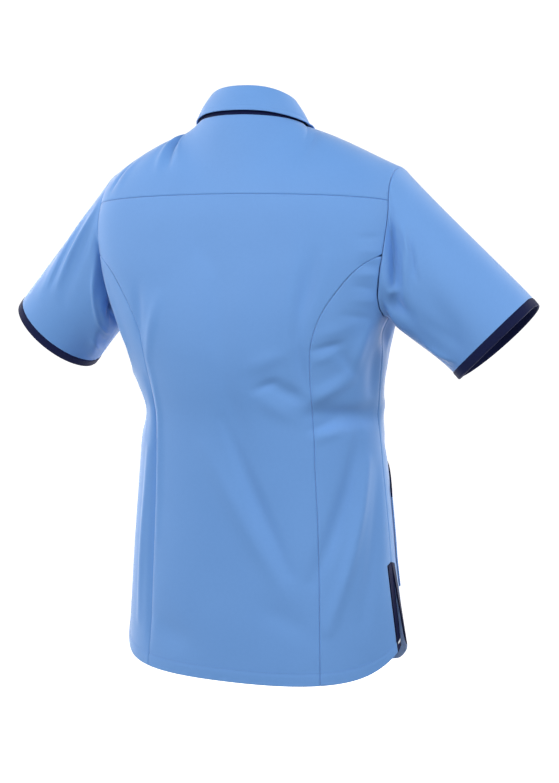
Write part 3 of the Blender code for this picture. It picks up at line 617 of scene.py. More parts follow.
def body_point(side, s, v):
    """Outer face of the body: v is a height up to the base of the shoulder, then runs on to the top line."""
    s, v = np.broadcast_arrays(np.asarray(s, float), np.asarray(v, float))
    base = YOKE_SEAM if side == BACK else FRONT_BASE
    low = lower_body(side, s, np.minimum(v, base))
    foot = lower_body(side, s, np.full_like(v, base))
    rising = unit(foot - lower_body(side, s, np.full_like(v, base - FOOT_STEP)))
    head, arrive = top_line(side, s)
    pull = SHOULDER_PULL * np.linalg.norm(head - foot, axis=-1, keepdims=True)
    t = (np.maximum(v, base) - base) / (TOP - base)
    high = hermite(foot, rising * pull, head, arrive * pull, t[..., None])
    return np.where((v > base)[..., None], high, low)


def face_direction(side, s, v):
    """Outward direction of one side's face."""
    step = 2e-4
    v_up = np.minimum(v + step, TOP)
    v_down = v_up - 2 * step
    across = body_point(side, s + step, v) - body_point(side, s - step, v)
    up = body_point(side, s, v_up) - body_point(side, s, v_down)
    return unit(-side * np.cross(across, up))


def body_normal(side, s, v):
    """Outward direction of the body's face, shared by yoke and front at the shoulder seam."""
    s, v = np.broadcast_arrays(np.asarray(s, float), np.asarray(v, float))
    own = face_direction(side, s, v)
    shared = unit(own + face_direction(-side, s, v))
    on_seam = (v > TOP - 1e-9) & (np.abs(s) > NECK_S - 1e-9)
    return np.where(on_seam[..., None], shared, own)


def fold_lift(folds, turn, height, round_size, long_size, first, last):
    """Sum of soft ridges and valleys, each along a line between two ends."""
    total = np.zeros(np.broadcast(turn, height).shape)
    for row in range(len(folds["lift"])):
        ax = folds["turn_a"][row] * round_size
        ay = folds[first][row] * long_size
        bx = folds["turn_b"][row] * round_size
        by = folds[last][row] * long_size
        px = turn * round_size - ax
        py = height * long_size - ay
        length2 = (bx - ax) ** 2 + (by - ay) ** 2
        t = (px * (bx - ax) + py * (by - ay)) / length2
        near = np.clip(t, 0, 1)
        away = np.hypot(px - near * (bx - ax), py - near * (by - ay))
        strength = FOLD_END + (1 - FOLD_END) * np.sin(math.pi * near)
        total = total + folds["lift"][row] * strength * bell(away, folds["width"][row])
    return total


def shoulder_lift(folds, s, v):
    """Creases of yoke and chest, fading out where the shoulder begins."""
    scaled = dict(folds)
    scaled["turn_a"] = folds["s_a"]
    scaled["turn_b"] = folds["s_b"]
    begins = ease((v - FRONT_BASE) / CREASE_START) * ease(-v / CREASE_STOP)
    return begins * fold_lift(scaled, s, v, SHOULDER_WIDTH, SHOULDER_RISE, "v_a", "v_b")


def body_lift(side, s, v, crease):
    """Folds and creases of the body and the spread of the vents."""
    angle = np.degrees(s * edge_angle(side, np.minimum(v, YOKE_SEAM)))
    turn = angle if side == BACK else np.sign(s + 1e-9) * 180 - angle
    height = np.minimum(v, YOKE_SEAM)
    lift = fold_lift(BODY_FOLDS, turn, height, BODY_DEGREE, 1.0, "z_a", "z_b")
    lift = lift + crease * fold_lift(BODY_CREASES, turn, height, BODY_DEGREE, 1.0, "z_a", "z_b")
    on_side = SHOULDER_CREASES["side"] == side
    shoulder = {key: column[on_side] for key, column in SHOULDER_CREASES.items()}
    lift = lift + crease * shoulder_lift(shoulder, s, v)
    open_share = np.clip((VENT_TOP - v) / (VENT_TOP - HEM_CENTRE), 0, 1)
    flare = VENT_FLARE_BACK if side == BACK else VENT_FLARE_FRONT
    return lift + flare * open_share * bell(1 - np.abs(s), VENT_REACH)


def underlap(s):
    """How far the left front is sunk under the right one."""
    return UNDERLAP_SINK * (1 - ease((s - OVERLAP_S) / UNDERLAP_REACH))


def princess_share(v):
    """Share of the way from the centre line to the side at which the princess seam runs."""
    turn = np.radians(smooth(PRINCESS, "z", "turn", v))
    return np.where(v >= PRINCESS_TOP, 1.0, turn / edge_angle(BACK, v))


def pocket_mouth(s):
    """Height of the slanted pocket mouth."""
    t = np.clip((POCKET_OUT - s) / (POCKET_SLANT * (POCKET_OUT - POCKET_IN)), 0, 1)
    return POCKET_LOW + (POCKET_HIGH - POCKET_LOW) * t


def spread(length, step, fine=SEAM_STEPS, low=True, high=True):
    """Shares from 0 to 1 along a length, close together at the ends that are seams."""
    start = [0.0] + [f / length for f in fine] * low
    stop = [1 - f / length for f in fine[::-1]] * high + [1.0]
    count = max(int(round((stop[0] - start[-1]) * length / step)), 2)
    middle = np.linspace(start[-1], stop[0], count + 1)[1:-1]
    return np.concatenate([start, middle, stop])


def between(a, b, shares):
    """Values from a to b at the shares given."""
    return a + (b - a) * shares


def catmull(points, at):
    """Smooth curve through the first axis of a grid, at index places."""
    last = len(points) - 1
    i = np.clip(np.floor(at).astype(int), 0, last - 1)
    t = (at - i).reshape((-1,) + (1,) * (points.ndim - 1))
    p0 = points[np.maximum(i - 1, 0)]
    p1 = points[i]
    p2 = points[i + 1]
    p3 = points[np.minimum(i + 2, last)]
    p0 = np.where((i == 0).reshape(t.shape), 2 * p1 - p2, p0)
    p3 = np.where((i == last - 1).reshape(t.shape), 2 * p2 - p1, p3)
    bend = 2 * p0 - 5 * p1 + 4 * p2 - p3
    twist = 3 * (p1 - p2) + p3 - p0
    return 0.5 * (2 * p1 + (p2 - p0) * t + bend * t**2 + twist * t**3)


def smooth_grid(rows, count, columns):
    """A grid drawn through a few rows: a count of rows, at index places across."""
    tall = catmull(rows, np.linspace(0, len(rows) - 1, count))
    return catmull(tall.swapaxes(0, 1), columns).swapaxes(0, 1)


def drawn_in(edge, beside, amount):
    """An edge moved square to itself toward the line beside it."""
    along = unit(np.gradient(edge, axis=0))
    step = beside - edge
    step = step - along * np.sum(step * along, axis=1, keepdims=True)
    return unit(step) * np.reshape(amount, (-1, 1))


def grid_normals(points):
    """Directions square to a grid, on the side given by rows crossed with columns."""
    return unit(np.cross(np.gradient(points, axis=1), np.gradient(points, axis=0)))


def walked(points, axis):
    """Distance walked along one axis of a grid."""
    step = np.linalg.norm(np.diff(points, axis=axis), axis=-1)
    start = np.zeros([1 if k == axis else n for k, n in enumerate(step.shape)])
    return np.concatenate([start, np.cumsum(step, axis)], axis)


def add_object(name, data):
    """A new object in the scene."""
    item = bpy.data.objects.new(name, data)
    bpy.context.scene.collection.objects.link(item)
    return item


def make_mesh(name, vertices, faces, uv=None, uv_index=None):
    """A smooth closed mesh with outward faces and, if given, cloth coordinates in metres."""
    mesh = bpy.data.meshes.new(name)
    mesh.from_pydata(vertices.tolist(), [], faces.tolist() if hasattr(faces, "tolist") else faces)
    if uv is not None:
        layer = mesh.uv_layers.new(name="cloth")
        layer.data.foreach_set("uv", uv[uv_index].astype(np.float32).ravel())
    work = bmesh.new()
    work.from_mesh(mesh)
    bmesh.ops.recalc_face_normals(work, faces=work.faces[:])
    work.to_mesh(mesh)
    work.free()
    mesh.polygons.foreach_set("use_smooth", np.ones(len(mesh.polygons), bool))
    return add_object(name, mesh)


def cloth_shell(name, outer, inner, ring=False, bulge=0.5):
    """Cloth between two grids of points with rounded rims; a ring joins its last column to its first."""
    rows, columns = outer.shape[:2]
    far = rows * columns
    index = np.arange(far).reshape(rows, columns)
    wide = columns + 1 if ring else columns
    wrap = index[:, np.arange(wide) % columns]
    closed = np.concatenate([outer, outer[:, :1]], 1) if ring else outer
    uv = np.stack([walked(closed, 1), walked(closed, 0)], -1).reshape(-1, 2)
    uv_grid = np.arange(rows * wide).reshape(rows, wide)

    def quads(grid):
        return np.stack([grid[:-1, :-1], grid[:-1, 1:], grid[1:, 1:], grid[1:, :-1]], -1).reshape(-1, 4)

    faces = [quads(wrap), quads(wrap + far)[:, ::-1]]
    corners = [quads(uv_grid), quads(uv_grid)[:, ::-1]]
    vertices = [outer.reshape(-1, 3), inner.reshape(-1, 3)]
    if ring:
        loops = [(wrap[0], uv_grid[0], wrap[1]), (wrap[-1], uv_grid[-1], wrap[-2])]
    else:
        around = (
            (slice(0, 1), slice(0, columns - 1), 1),
            (slice(0, rows - 1), slice(columns - 1, columns), 1),
            (slice(rows - 1, rows), slice(1, columns), -1),
            (slice(1, rows), slice(0, 1), -1),
        )
        edge = np.concatenate([index[a, b].ravel()[::c] for a, b, c in around])
        inside = index.copy()
        inside[0], inside[-1] = index[1], index[-2]
        inside[:, 0], inside[:, -1] = inside[:, 1], inside[:, -2]
        edge = np.append(edge, edge[0])
        loops = [(edge, edge, inside.ravel()[edge])]
    flat_out = outer.reshape(-1, 3)
    flat_in = inner.reshape(-1, 3)
    total = 2 * far
    for edge, edge_uv, beside in loops:
        wall = np.linalg.norm(flat_out[edge] - flat_in[edge], axis=1, keepdims=True)
        away = unit(flat_out[edge] - flat_out[beside])
        rim = (flat_out[edge] + flat_in[edge]) / 2 + away * wall * bulge
        rim = rim[:-1]
        mid = total + np.append(np.arange(len(rim)), 0)
        total += len(rim)
        vertices.append(rim)
        corner = np.stack([edge_uv[:-1], edge_uv[1:], edge_uv[1:], edge_uv[:-1]], -1)
        faces.append(np.stack([edge[:-1], edge[1:], mid[1:], mid[:-1]], -1))
        faces.append(np.stack([mid[:-1], mid[1:], far + edge[1:], far + edge[:-1]], -1))
        corners.extend([corner, corner])
    return make_mesh(
        name, np.concatenate(vertices), np.concatenate(faces), uv, np.concatenate(corners).ravel()
    )


def declare_cloth(piece, node, slot):
    """Gives a finished sheet of cloth its twill and its place on the tunic, and hides the imported part it
    stands in for.
    """
    piece.data.materials.append(navy_twill() if slot == "navy_twill" else blue_twill())
    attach(piece, "root")
    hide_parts(node)


def srgb(text):
    """A colour written as six hexadecimal digits, in linear light."""
    value = np.array([int(text[i : i + 2], 16) for i in (0, 2, 4)]) / 255
    linear = np.where(value <= 0.04045, value / 12.92, ((value + 0.055) / 1.055) ** 2.4)
    return (*(float(c) for c in linear), 1.0)


def dimmed(colour, share):
    """A darker tone of a linear colour."""
    return tuple(c * share for c in colour[:3]) + (1.0,)


def add_node(tree, kind, inputs=None, links=(), **settings):
    """Adds a shader node with its settings, values and links."""
    node = tree.nodes.new(kind)
    for key, value in settings.items():
        setattr(node, key, value)
    for key, value in (inputs or {}).items():
        node.inputs[key].default_value = value
    for source, target in links:
        tree.links.new(source, node.inputs[target])
    return node


def new_material(name, **values):
    """A principled material with constant socket values, its tree and its shader; no tree if it exists."""
    material = bpy.data.materials.get(name)
    if material:
        return material, None, None
    material = bpy.data.materials.new(name)
    material.use_nodes = True
    shader = material.node_tree.nodes["Principled BSDF"]
    for key, value in values.items():
        shader.inputs[key.replace("_", " ")].default_value = value
    return material, material.node_tree, shader


def woven_cloth(name, colour, shade, relief, **values):
    """Polyester and cotton twill: fine slanting ribs, uneven yarn and a soft sheen from pressing."""
    material, tree, shader = new_material(name, **values)
    if tree is None:
        return material
    cloth = add_node(tree, "ShaderNodeUVMap", uv_map="cloth")
    turned = add_node(
        tree, "ShaderNodeMapping", {"Rotation": (0, 0, RIB_SLANT)}, [(cloth.outputs[0], "Vector")]
    )
    ribs = add_node(
        tree, "ShaderNodeTexWave", {"Scale": WAVE_BAND / RIB, "Distortion": 1.2, "Detail": 1.0},
        [(turned.outputs[0], "Vector")], bands_direction="X",
    )
    yarn = add_node(
        tree, "ShaderNodeTexNoise", {"Scale": 1 / YARN_PATCH, "Detail": 3.0}, [(cloth.outputs[0], "Vector")]
    )
    cloud = add_node(
        tree, "ShaderNodeTexNoise", {"Scale": 1 / DYE_CLOUD, "Detail": 2.0}, [(cloth.outputs[0], "Vector")]
    )
    both = add_node(
        tree, "ShaderNodeMath", {1: 0.5}, [(yarn.outputs[0], 0), (cloud.outputs[0], 2)],
        operation="MULTIPLY_ADD",
    )
    tone = add_node(
        tree, "ShaderNodeMapRange", {"From Min": 0.5, "From Max": 1.0, "To Min": 0.0, "To Max": 1.0},
        [(both.outputs[0], "Value")],
    )
    mix = add_node(tree, "ShaderNodeMix", {6: shade, 7: colour}, [(tone.outputs[0], 0)], data_type="RGBA")
    tree.links.new(mix.outputs[2], shader.inputs["Base Color"])
    height = add_node(
        tree, "ShaderNodeMath", {1: 0.35}, [(yarn.outputs[0], 0), (ribs.outputs["Fac"], 2)],
        operation="MULTIPLY_ADD",
    )
    bump = add_node(
        tree, "ShaderNodeBump", {"Strength": relief, "Distance": 0.0001}, [(height.outputs[0], "Height")]
    )
    tree.links.new(bump.outputs[0], shader.inputs["Normal"])
    return material


class TunicSizes(bpy.types.PropertyGroup):
    """Sizes of the cloth and its sewing."""

    wall: bpy.props.FloatProperty(
        name="Cloth thickness", description="Thickness of one layer of cloth as drawn",
        default=0.0010, min=0.0003, max=0.003, subtype="DISTANCE", unit="LENGTH",
    )
    cell: bpy.props.FloatProperty(
        name="Mesh cell", description="Side of one cell of the cloth mesh",
        default=0.0030, min=0.002, max=0.02, subtype="DISTANCE", unit="LENGTH",
    )
    crease: bpy.props.FloatProperty(
        name="Creases", description="Strength of the finer creases",
        default=1.0, min=0.0, max=3.0, subtype="FACTOR",
    )
    seam_depth: bpy.props.FloatProperty(
        name="Seam depth", description="How far the cloth dips into a seam",
        default=0.0007, min=0.0, max=0.003, subtype="DISTANCE", unit="LENGTH",
    )
    seam_width: bpy.props.FloatProperty(
        name="Seam width", description="How far from the seam line the dip reaches",
        default=0.0010, min=0.0003, max=0.006, subtype="DISTANCE", unit="LENGTH",
    )
    binding: bpy.props.FloatProperty(
        name="Binding width", description="Width of the navy bindings",
        default=0.010, min=0.005, max=0.02, subtype="DISTANCE", unit="LENGTH",
    )
    hem: bpy.props.FloatProperty(
        name="Hem depth", description="Distance from the hem edge to its stitching",
        default=0.016, min=0.005, max=0.03, subtype="DISTANCE", unit="LENGTH",
    )
    stitch: bpy.props.FloatProperty(
        name="Stitch length", description="Length from one stitch to the next",
        default=0.0030, min=0.0015, max=0.006, subtype="DISTANCE", unit="LENGTH",
    )
    button: bpy.props.FloatProperty(
        name="Button width", description="Width across a button",
        default=0.015, min=0.008, max=0.03, subtype="DISTANCE", unit="LENGTH",
    )


class TunicColours(bpy.types.PropertyGroup):
    """Colours of the cloth, thread and buttons."""

    blue: bpy.props.StringProperty(name="Blue", description="Main cloth, sRGB hex", default="6A9CDC")
    blue_shade: bpy.props.StringProperty(
        name="Blue shade", description="Darker yarns, sRGB hex", default="6698D8"
    )
    navy: bpy.props.StringProperty(name="Navy", description="Trim cloth, sRGB hex", default="0A1440")
    navy_shade: bpy.props.StringProperty(
        name="Navy shade", description="Darker yarns, sRGB hex", default="081034"
    )
    thread: bpy.props.StringProperty(
        name="Thread", description="Blue sewing thread, sRGB hex", default="6596D6"
    )
    tack: bpy.props.StringProperty(name="Tack", description="White tack thread, sRGB hex", default="E8ECF2")
    button: bpy.props.StringProperty(name="Button", description="Button plastic, sRGB hex", default="6E9CDC")
    floor: bpy.props.StringProperty(name="Floor", description="Studio floor, sRGB hex", default="F6F6F6")


def sizes():
    """The sizes chosen in the panel."""
    return bpy.context.scene.tunic_sizes


def colours():
    """The colours chosen in the panel."""
    return bpy.context.scene.tunic_colours


def blue_twill():
    """Mid blue polyester and cotton twill, piece dyed and pressed: matt, with a slight sheen at its edges."""
    return woven_cloth(
        "blue_polycotton_twill_woven", srgb(colours().blue), srgb(colours().blue_shade), 0.25,
        Roughness=0.60, Sheen_Weight=0.45, Sheen_Roughness=0.35, Specular_IOR_Level=0.35,
    )


def navy_twill():
    """Navy polyester and cotton twill cut as binding: almost black, with a little sheen on its edge."""
    return woven_cloth(
        "navy_polycotton_twill_woven", srgb(colours().navy), srgb(colours().navy_shade), 0.25,
        Roughness=0.65, Sheen_Weight=0.02, Sheen_Roughness=0.4, Specular_IOR_Level=0.12,
    )


def spun_thread(name, colour):
    """Spun polyester sewing thread: two plies twisted together, slightly brighter than the cloth, with
    painted shade in the grooves between the plies.
    """
    material, tree, shader = new_material(name, Roughness=0.5, Specular_IOR_Level=0.4, Sheen_Weight=0.2)
    if tree is None:
        return material
    place = add_node(tree, "ShaderNodeTexCoord")
    plies = add_node(
        tree, "ShaderNodeTexWave", {"Scale": WAVE_BAND / PLY, "Distortion": 0.6},
        [(place.outputs["Object"], "Vector")], bands_direction="DIAGONAL",
    )
    ply_height_and_shade = plies.outputs["Fac"]
    # Painted shade: the colour is dimmed where the ply bump sinks into its grooves
    mix = add_node(
        tree, "ShaderNodeMix", {6: dimmed(colour, 0.82), 7: colour}, [(ply_height_and_shade, 0)], data_type="RGBA"
    )
    tree.links.new(mix.outputs[2], shader.inputs["Base Color"])
    bump = add_node(tree, "ShaderNodeBump", {"Strength": 0.4, "Distance": 0.0001}, [(ply_height_and_shade, "Height")])
    tree.links.new(bump.outputs[0], shader.inputs["Normal"])
    return material


def polyester_button():
    """Cast polyester button resin, tumbled to a satin polish: faint clouds and a soft highlight."""
    colour = srgb(colours().button)
    material, tree, shader = new_material(
        "button_polyester_cast_satin", Roughness=0.28, Specular_IOR_Level=0.5
    )
    if tree is None:
        return material
    place = add_node(tree, "ShaderNodeTexCoord")
    cloud = add_node(
        tree, "ShaderNodeTexNoise", {"Scale": 1 / RESIN_CLOUD, "Detail": 3.0},
        [(place.outputs["Object"], "Vector")],
    )
    tone = cloud.outputs[0]
    mix = add_node(
        tree, "ShaderNodeMix", {6: dimmed(colour, 0.85), 7: colour}, [(tone, 0)], data_type="RGBA"
    )
    tree.links.new(mix.outputs[2], shader.inputs["Base Color"])
    bump = add_node(tree, "ShaderNodeBump", {"Strength": 0.05, "Distance": 0.0002}, [(tone, "Height")])
    tree.links.new(bump.outputs[0], shader.inputs["Normal"])
    return material


def opal_acrylic():
    """Opal acrylic sheet lit from below: matt, even and almost pure white."""
    colour = srgb(colours().floor)
    material, tree, shader = new_material("opal_acrylic_backlit", Roughness=0.8, Specular_IOR_Level=0.1)
    if tree is None:
        return material
    place = add_node(tree, "ShaderNodeTexCoord")
    tone = add_node(tree, "ShaderNodeTexNoise", {"Scale": 2.0}, [(place.outputs["Object"], "Vector")])
    mix = add_node(
        tree, "ShaderNodeMix", {6: dimmed(colour, 0.985), 7: colour}, [(tone.outputs[0], 0)],
        data_type="RGBA",
    )
    tree.links.new(mix.outputs[2], shader.inputs["Base Color"])
    tree.links.new(mix.outputs[2], shader.inputs["Emission Color"])
    shader.inputs["Emission Strength"].default_value = WHITE_GLOW
    return material


def dip(distance):
    """How far the cloth goes down at a distance from a seam line."""
    return sizes().seam_depth * bell(distance, sizes().seam_width)


def body_sheet(side, s, v, lift=0.0, seams=()):
    """Outer points and directions of one piece of the body, dipped at the edges that are seams."""
    s, v = np.broadcast_arrays(np.asarray(s, float), np.asarray(v, float))
    points = body_point(side, s, v)
    normals = body_normal(side, s, v)
    down = np.zeros(s.shape)
    across = walked(points, 1)
    along = walked(points, 0)
    distances = {
        "left": across,
        "right": across[:, -1:] - across,
        "bottom": along,
        "top": along[-1:] - along,
    }
    for edge in seams:
        down = np.maximum(down, dip(distances[edge]))
    lift = lift + body_lift(side, s, v, sizes().crease) - down
    return points + normals * lift[..., None], normals


def body_piece(name, side, s, v, lift=0.0, seams=(), wall=None):
    """One shaped piece of the body as a closed shell."""
    points, normals = body_sheet(side, s, v, lift, seams)
    wall = wall or sizes().wall
    room = wall * SEAM_ROOM
    moved = points.copy()
    moved[:, 0] += drawn_in(points[:, 0], points[:, 1], room)
    moved[:, -1] += drawn_in(points[:, -1], points[:, -2], room)
    moved[0] += drawn_in(points[0], points[1], room)
    moved[-1] += drawn_in(points[-1], points[-2], room)
    return cloth_shell(name, moved, moved - normals * wall, bulge=0.42)


def vent_edge(side, v):
    """Share of the way to the side seam where a panel gives way to its vent binding."""
    width = sizes().binding * np.clip((VENT_TOP - v) / BINDING_MITRE, 0, 1)
    step = 0.01
    reach = np.linalg.norm(body_point(side, 1.0, v) - body_point(side, 1 - step, v), axis=-1) / step
    return 1 - width / reach


def heights(low, high, seams=(True, True)):
    """Heights from low to high, close together at seams."""
    return between(low, high, spread(high - low, sizes().cell, low=seams[0], high=seams[1]))


def hem_turn(side, s, v):
    """The turned hem: a little thicker below its stitch line, with a shallow groove along the stitches."""
    up = v - HEM_CENTRE
    folded = HEM_EXTRA * (1 - ease((up - sizes().hem + HEM_STEP / 2) / HEM_STEP))
    groove = HEM_GROOVE * bell(up - sizes().hem, HEM_STEP)
    seam = np.abs(np.abs(s) - (princess_share(v) if side == BACK else NO_SEAM))
    pucker = PUCKER_DEPTH * np.sin(up / PUCKER_PITCH) * bell(seam, PUCKER_REACH) * bell(up, PUCKER_REACH)
    return folded - groove + pucker


def make_back():
    """Centre back, side backs and yoke."""
    low = heights(HEM_CENTRE, PRINCESS_TOP, (True, False))
    rows = np.concatenate([low, heights(PRINCESS_TOP, YOKE_SEAM, (False, True))[1:]])
    share = princess_share(rows)
    t = spread(PANEL_WIDTH, sizes().cell)
    s = share[:, None] * (2 * t - 1)[None, :]
    lift = hem_turn(BACK, s, rows[:, None] + 0 * s)
    piece = body_piece("back_centre_cloth", BACK, s, rows[:, None], lift, ("left", "right", "top"))
    declare_cloth(piece, "back_centre", "blue_twill")

    rows = np.concatenate([side_heights(), armhole_heights()[1:]])
    rows = rows[rows < PRINCESS_TOP - SEAM_STOP]
    inner = princess_share(rows)
    outer = vent_edge(BACK, rows)
    t = spread(SIDE_WIDTH, sizes().cell)
    s = inner[:, None] * (1 - t) + outer[:, None] * t
    lift = hem_turn(BACK, s, rows[:, None] + 0 * s)
    for hand, word in HANDS:
        name = f"side_back_{word}_cloth"
        piece = body_piece(name, BACK, hand * s, rows[:, None], lift, ("left", "right"))
        declare_cloth(piece, f"side_back_{word}", "blue_twill")

    neck = between(0.0, NECK_S, np.linspace(0, 1, NECK_COLUMNS))
    shoulder = between(NECK_S, 1.0, spread(SHOULDER_LENGTH, sizes().cell, low=False))
    half = np.concatenate([neck, shoulder[1:]])
    s = np.concatenate([-half[:0:-1], half])
    rows = heights(YOKE_SEAM, TOP)
    edges = ("left", "right", "bottom", "top")
    piece = body_piece("back_yoke_cloth", BACK, s[None, :], rows[:, None], seams=edges)
    declare_cloth(piece, "back_yoke", "blue_twill")


def side_heights():
    """Heights up the side from hem to underarm, close together at the top of the vent."""
    vent = heights(HEM_CENTRE, VENT_TOP - BINDING_MITRE, (True, False))
    top = np.linspace(VENT_TOP - BINDING_MITRE, VENT_TOP, MITRE_ROWS)
    return np.concatenate([vent, top[1:], heights(VENT_TOP, UNDERARM, (False, False))[1:]])


def armhole_heights():
    """Heights up the armhole, close together where its edge runs level at the underarm."""
    foot = UNDERARM + UNDERARM_RISE * np.linspace(0, 1, UNDERARM_ROWS) ** 2
    return np.concatenate([foot, between(foot[-1], PRINCESS_TOP, np.linspace(0, 1, ARMHOLE_ROWS))[1:]])


def make_fronts():
    """The two fronts, the wearer's right lapping over the left."""
    rows = np.concatenate([
        side_heights(),
        armhole_heights()[1:],
        heights(PRINCESS_TOP, FRONT_BASE, (False, False))[1:],
        heights(FRONT_BASE, TOP, (False, True))[1:],
    ])
    edge = vent_edge(FRONT, rows)
    t = spread(PANEL_WIDTH, sizes().cell)
    for hand, word in HANDS:
        s = between(-OVERLAP_S, edge[:, None], t[None, :])
        placket = PLACKET_DIP * bell(s - PLACKET_S, PLACKET_WIDTH)
        lift = hem_turn(FRONT, s, rows[:, None] + 0 * s)
        lift = lift - underlap(s) if hand == LEFT else lift - placket
        name = f"front_{word}_cloth"
        piece = body_piece(name, FRONT, hand * s, rows[:, None], lift, ("right", "top"))
        declare_cloth(piece, f"front_{word}", "blue_twill")


def vent_binding(side, hand, word, place):
    """Navy binding of one edge of a vent."""
    low = heights(HEM_CENTRE, VENT_TOP - BINDING_MITRE, (True, False))
    rows = np.concatenate([low, np.linspace(low[-1], VENT_TOP - BINDING_TIP, TIP_ROWS)[1:]])
    inner = vent_edge(side, rows)
    t = spread(VENT_SPAN, EDGE_CELL, EDGE_STEPS)
    s = inner[:, None] * (1 - t) + t
    gap = SLIT_GAP + VENT_SPREAD * np.clip((VENT_TOP - rows) / (VENT_TOP - HEM_CENTRE), 0, 1)
    points, normals = body_sheet(side, hand * s, rows[:, None])
    points[:, -1] += drawn_in(points[:, -1], points[:, -2], gap)
    points[:, 0] += drawn_in(points[:, 0], points[:, 1], CLOTH_GAP)
    inner = points - normals * (BINDING_WALL - BINDING_OVER)
    piece = cloth_shell(f"vent_{place}_{word}_binding", points + normals * BINDING_OVER, inner)
    declare_cloth(piece, f"vent_{place}_{word}", "navy_twill")


def make_bindings():
    """Navy bindings of the side vents."""
    for hand, word in HANDS:
        vent_binding(BACK, hand, word, "back")
        vent_binding(FRONT, hand, word, "front")


def armhole_loop(count):
    """Armhole edge from the underarm up the back, over the shoulder and down the front, evenly spaced."""
    v = np.concatenate([armhole_heights(), np.linspace(PRINCESS_TOP, TOP, ARMHOLE_STEPS)[1:]])
    spaced = []
    for side in (BACK, FRONT):
        length = walked(body_point(side, np.ones_like(v), v)[None], 1)[0]
        spaced.append(np.interp(np.linspace(0, length[-1], count + 1), length, v))
    back, front = spaced
    front = front[::-1][1:-1]
    behind, behind_out = body_sheet(BACK, np.ones((1, len(back))), back[None])
    before, before_out = body_sheet(FRONT, np.ones((1, len(front))), front[None])
    return np.concatenate([behind[0], before[0]]), np.concatenate([behind_out[0], before_out[0]]), len(back)


def sleeve_grid(hand, along, count):
    """Outer points, outward directions and turn of a sleeve from the armhole to its end."""
    start, cloth_out, back_count = armhole_loop(count)
    step = np.linalg.norm(np.roll(start, -1, 0) - start, axis=1)
    path = np.concatenate([[0], np.cumsum(step)])
    top = back_count - 1
    turn = np.where(
        np.arange(len(start)) <= top,
        path[:-1] / path[top] * 180,
        180 + (path[:-1] - path[top]) / (path[-1] - path[top]) * 180,
    )
    axis = unit(CUFF_AXIS)
    tall = unit(CUFF_UP)
    deep = unit(np.cross(tall, axis))
    angle = np.radians(turn)[:, None]
    row = list(CUFFS["hand"]).index(hand)
    middle = np.array([CUFFS["x"][row], CUFFS["y"][row], CUFFS["z"][row]])
    high = tall * CUFFS["half_tall"][row]
    wide = deep * CUFFS["half_deep"][row]
    drop = axis * CUFFS["back_drop"][row]
    end = middle - np.cos(angle) * high + np.sin(angle) * wide + np.maximum(np.sin(angle), 0) * drop
    pull = axis * SLEEVE_PULL * np.linalg.norm(end - start, axis=1, keepdims=True)
    grid = hermite(start, pull, end, pull, along[:, None, None])
    round_step = np.roll(grid, -1, 1) - np.roll(grid, 1, 1)
    normal = unit(np.cross(round_step, np.gradient(grid, along, axis=0)))
    alike = np.clip(np.sum(normal[0] * cloth_out, axis=1, keepdims=True), 0, 1)
    blend = bell(along, ARMHOLE_BLEND)[:, None, None]
    normal = unit(normal + cloth_out[None] * alike[None] * blend)
    return grid, normal, np.where(turn > 180, turn - 360, turn)


def make_sleeves():
    """Both sleeves, and the navy bindings of their ends."""
    along = spread(SLEEVE_LENGTH, sizes().cell, high=False)
    settle = ease(along / SETTLE_START) * (FOLD_END + (1 - FOLD_END) * ease((1 - along) / SETTLE_END))
    axis = unit(CUFF_AXIS)
    for hand, word in HANDS:
        grid, normal, turn = sleeve_grid(hand, along, SLEEVE_COLUMNS)
        lift, fine = (
            fold_lift(folds[hand], turn, along[:, None], SLEEVE_DEGREE, SLEEVE_LENGTH, "along_a", "along_b")
            for folds in (SLEEVE_FOLDS, SLEEVE_CREASES)
        )
        underarm = dip(np.abs(turn) * SLEEVE_DEGREE)[None, :]
        lift = (lift + sizes().crease * fine) * settle[:, None]
        lift = lift - np.maximum(dip(along * SLEEVE_LENGTH)[:, None], underarm)
        outer = grid + normal * lift[..., None]
        outer[0] += unit(outer[1] - outer[0]) * sizes().wall * 0.5
        flip = np.array([hand, 1, 1])
        inner = outer - normal * sizes().wall
        piece = cloth_shell(f"sleeve_{word}_cloth", outer * flip, inner * flip, ring=True, bulge=0.4)
        declare_cloth(piece, f"sleeve_{word}", "blue_twill")

        rim = outer[-1] + CUFF_SECTION["along"][:, None, None] * axis
        rim_out = rim + normal[-1] * CUFF_SECTION["out"][:, None, None]
        rim_in = rim - normal[-1] * CUFF_INNER
        piece = cloth_shell(f"cuff_{word}_binding", rim_out * flip, rim_in * flip, ring=True, bulge=0.45)
        declare_cloth(piece, f"cuff_binding_{word}", "navy_twill")


def on_sides(sides, shape, s, v):
    """A shape function evaluated on the front or the back, whichever each point belongs to."""
    front = shape(FRONT, s, v)
    back = shape(BACK, s, v)
    return np.where((sides == FRONT)[:, None], front, back)


def beside_seam(sides, s, target):
    """Places on the body, as shares and heights, that are nearest to some points."""
    v = np.full(len(s), TOP)
    step = 1e-4
    aside = np.where(s < 0, -step, step)
    for _ in range(SEEK_ROUNDS):
        here = on_sides(sides, body_point, s, v)
        across = (on_sides(sides, body_point, s + aside, v) - here) / aside[:, None]
        down = (here - on_sides(sides, body_point, s, v - step)) / step
        for i in range(len(s)):
            move = np.linalg.lstsq(np.stack([across[i], down[i]], 1), target[i] - here[i], rcond=None)[0]
            s[i] += np.clip(move[0], -SEEK_ACROSS, SEEK_ACROSS)
            v[i] = min(v[i] + np.clip(move[1], -SEEK_DOWN, SEEK_DOWN), TOP)
    return s, v


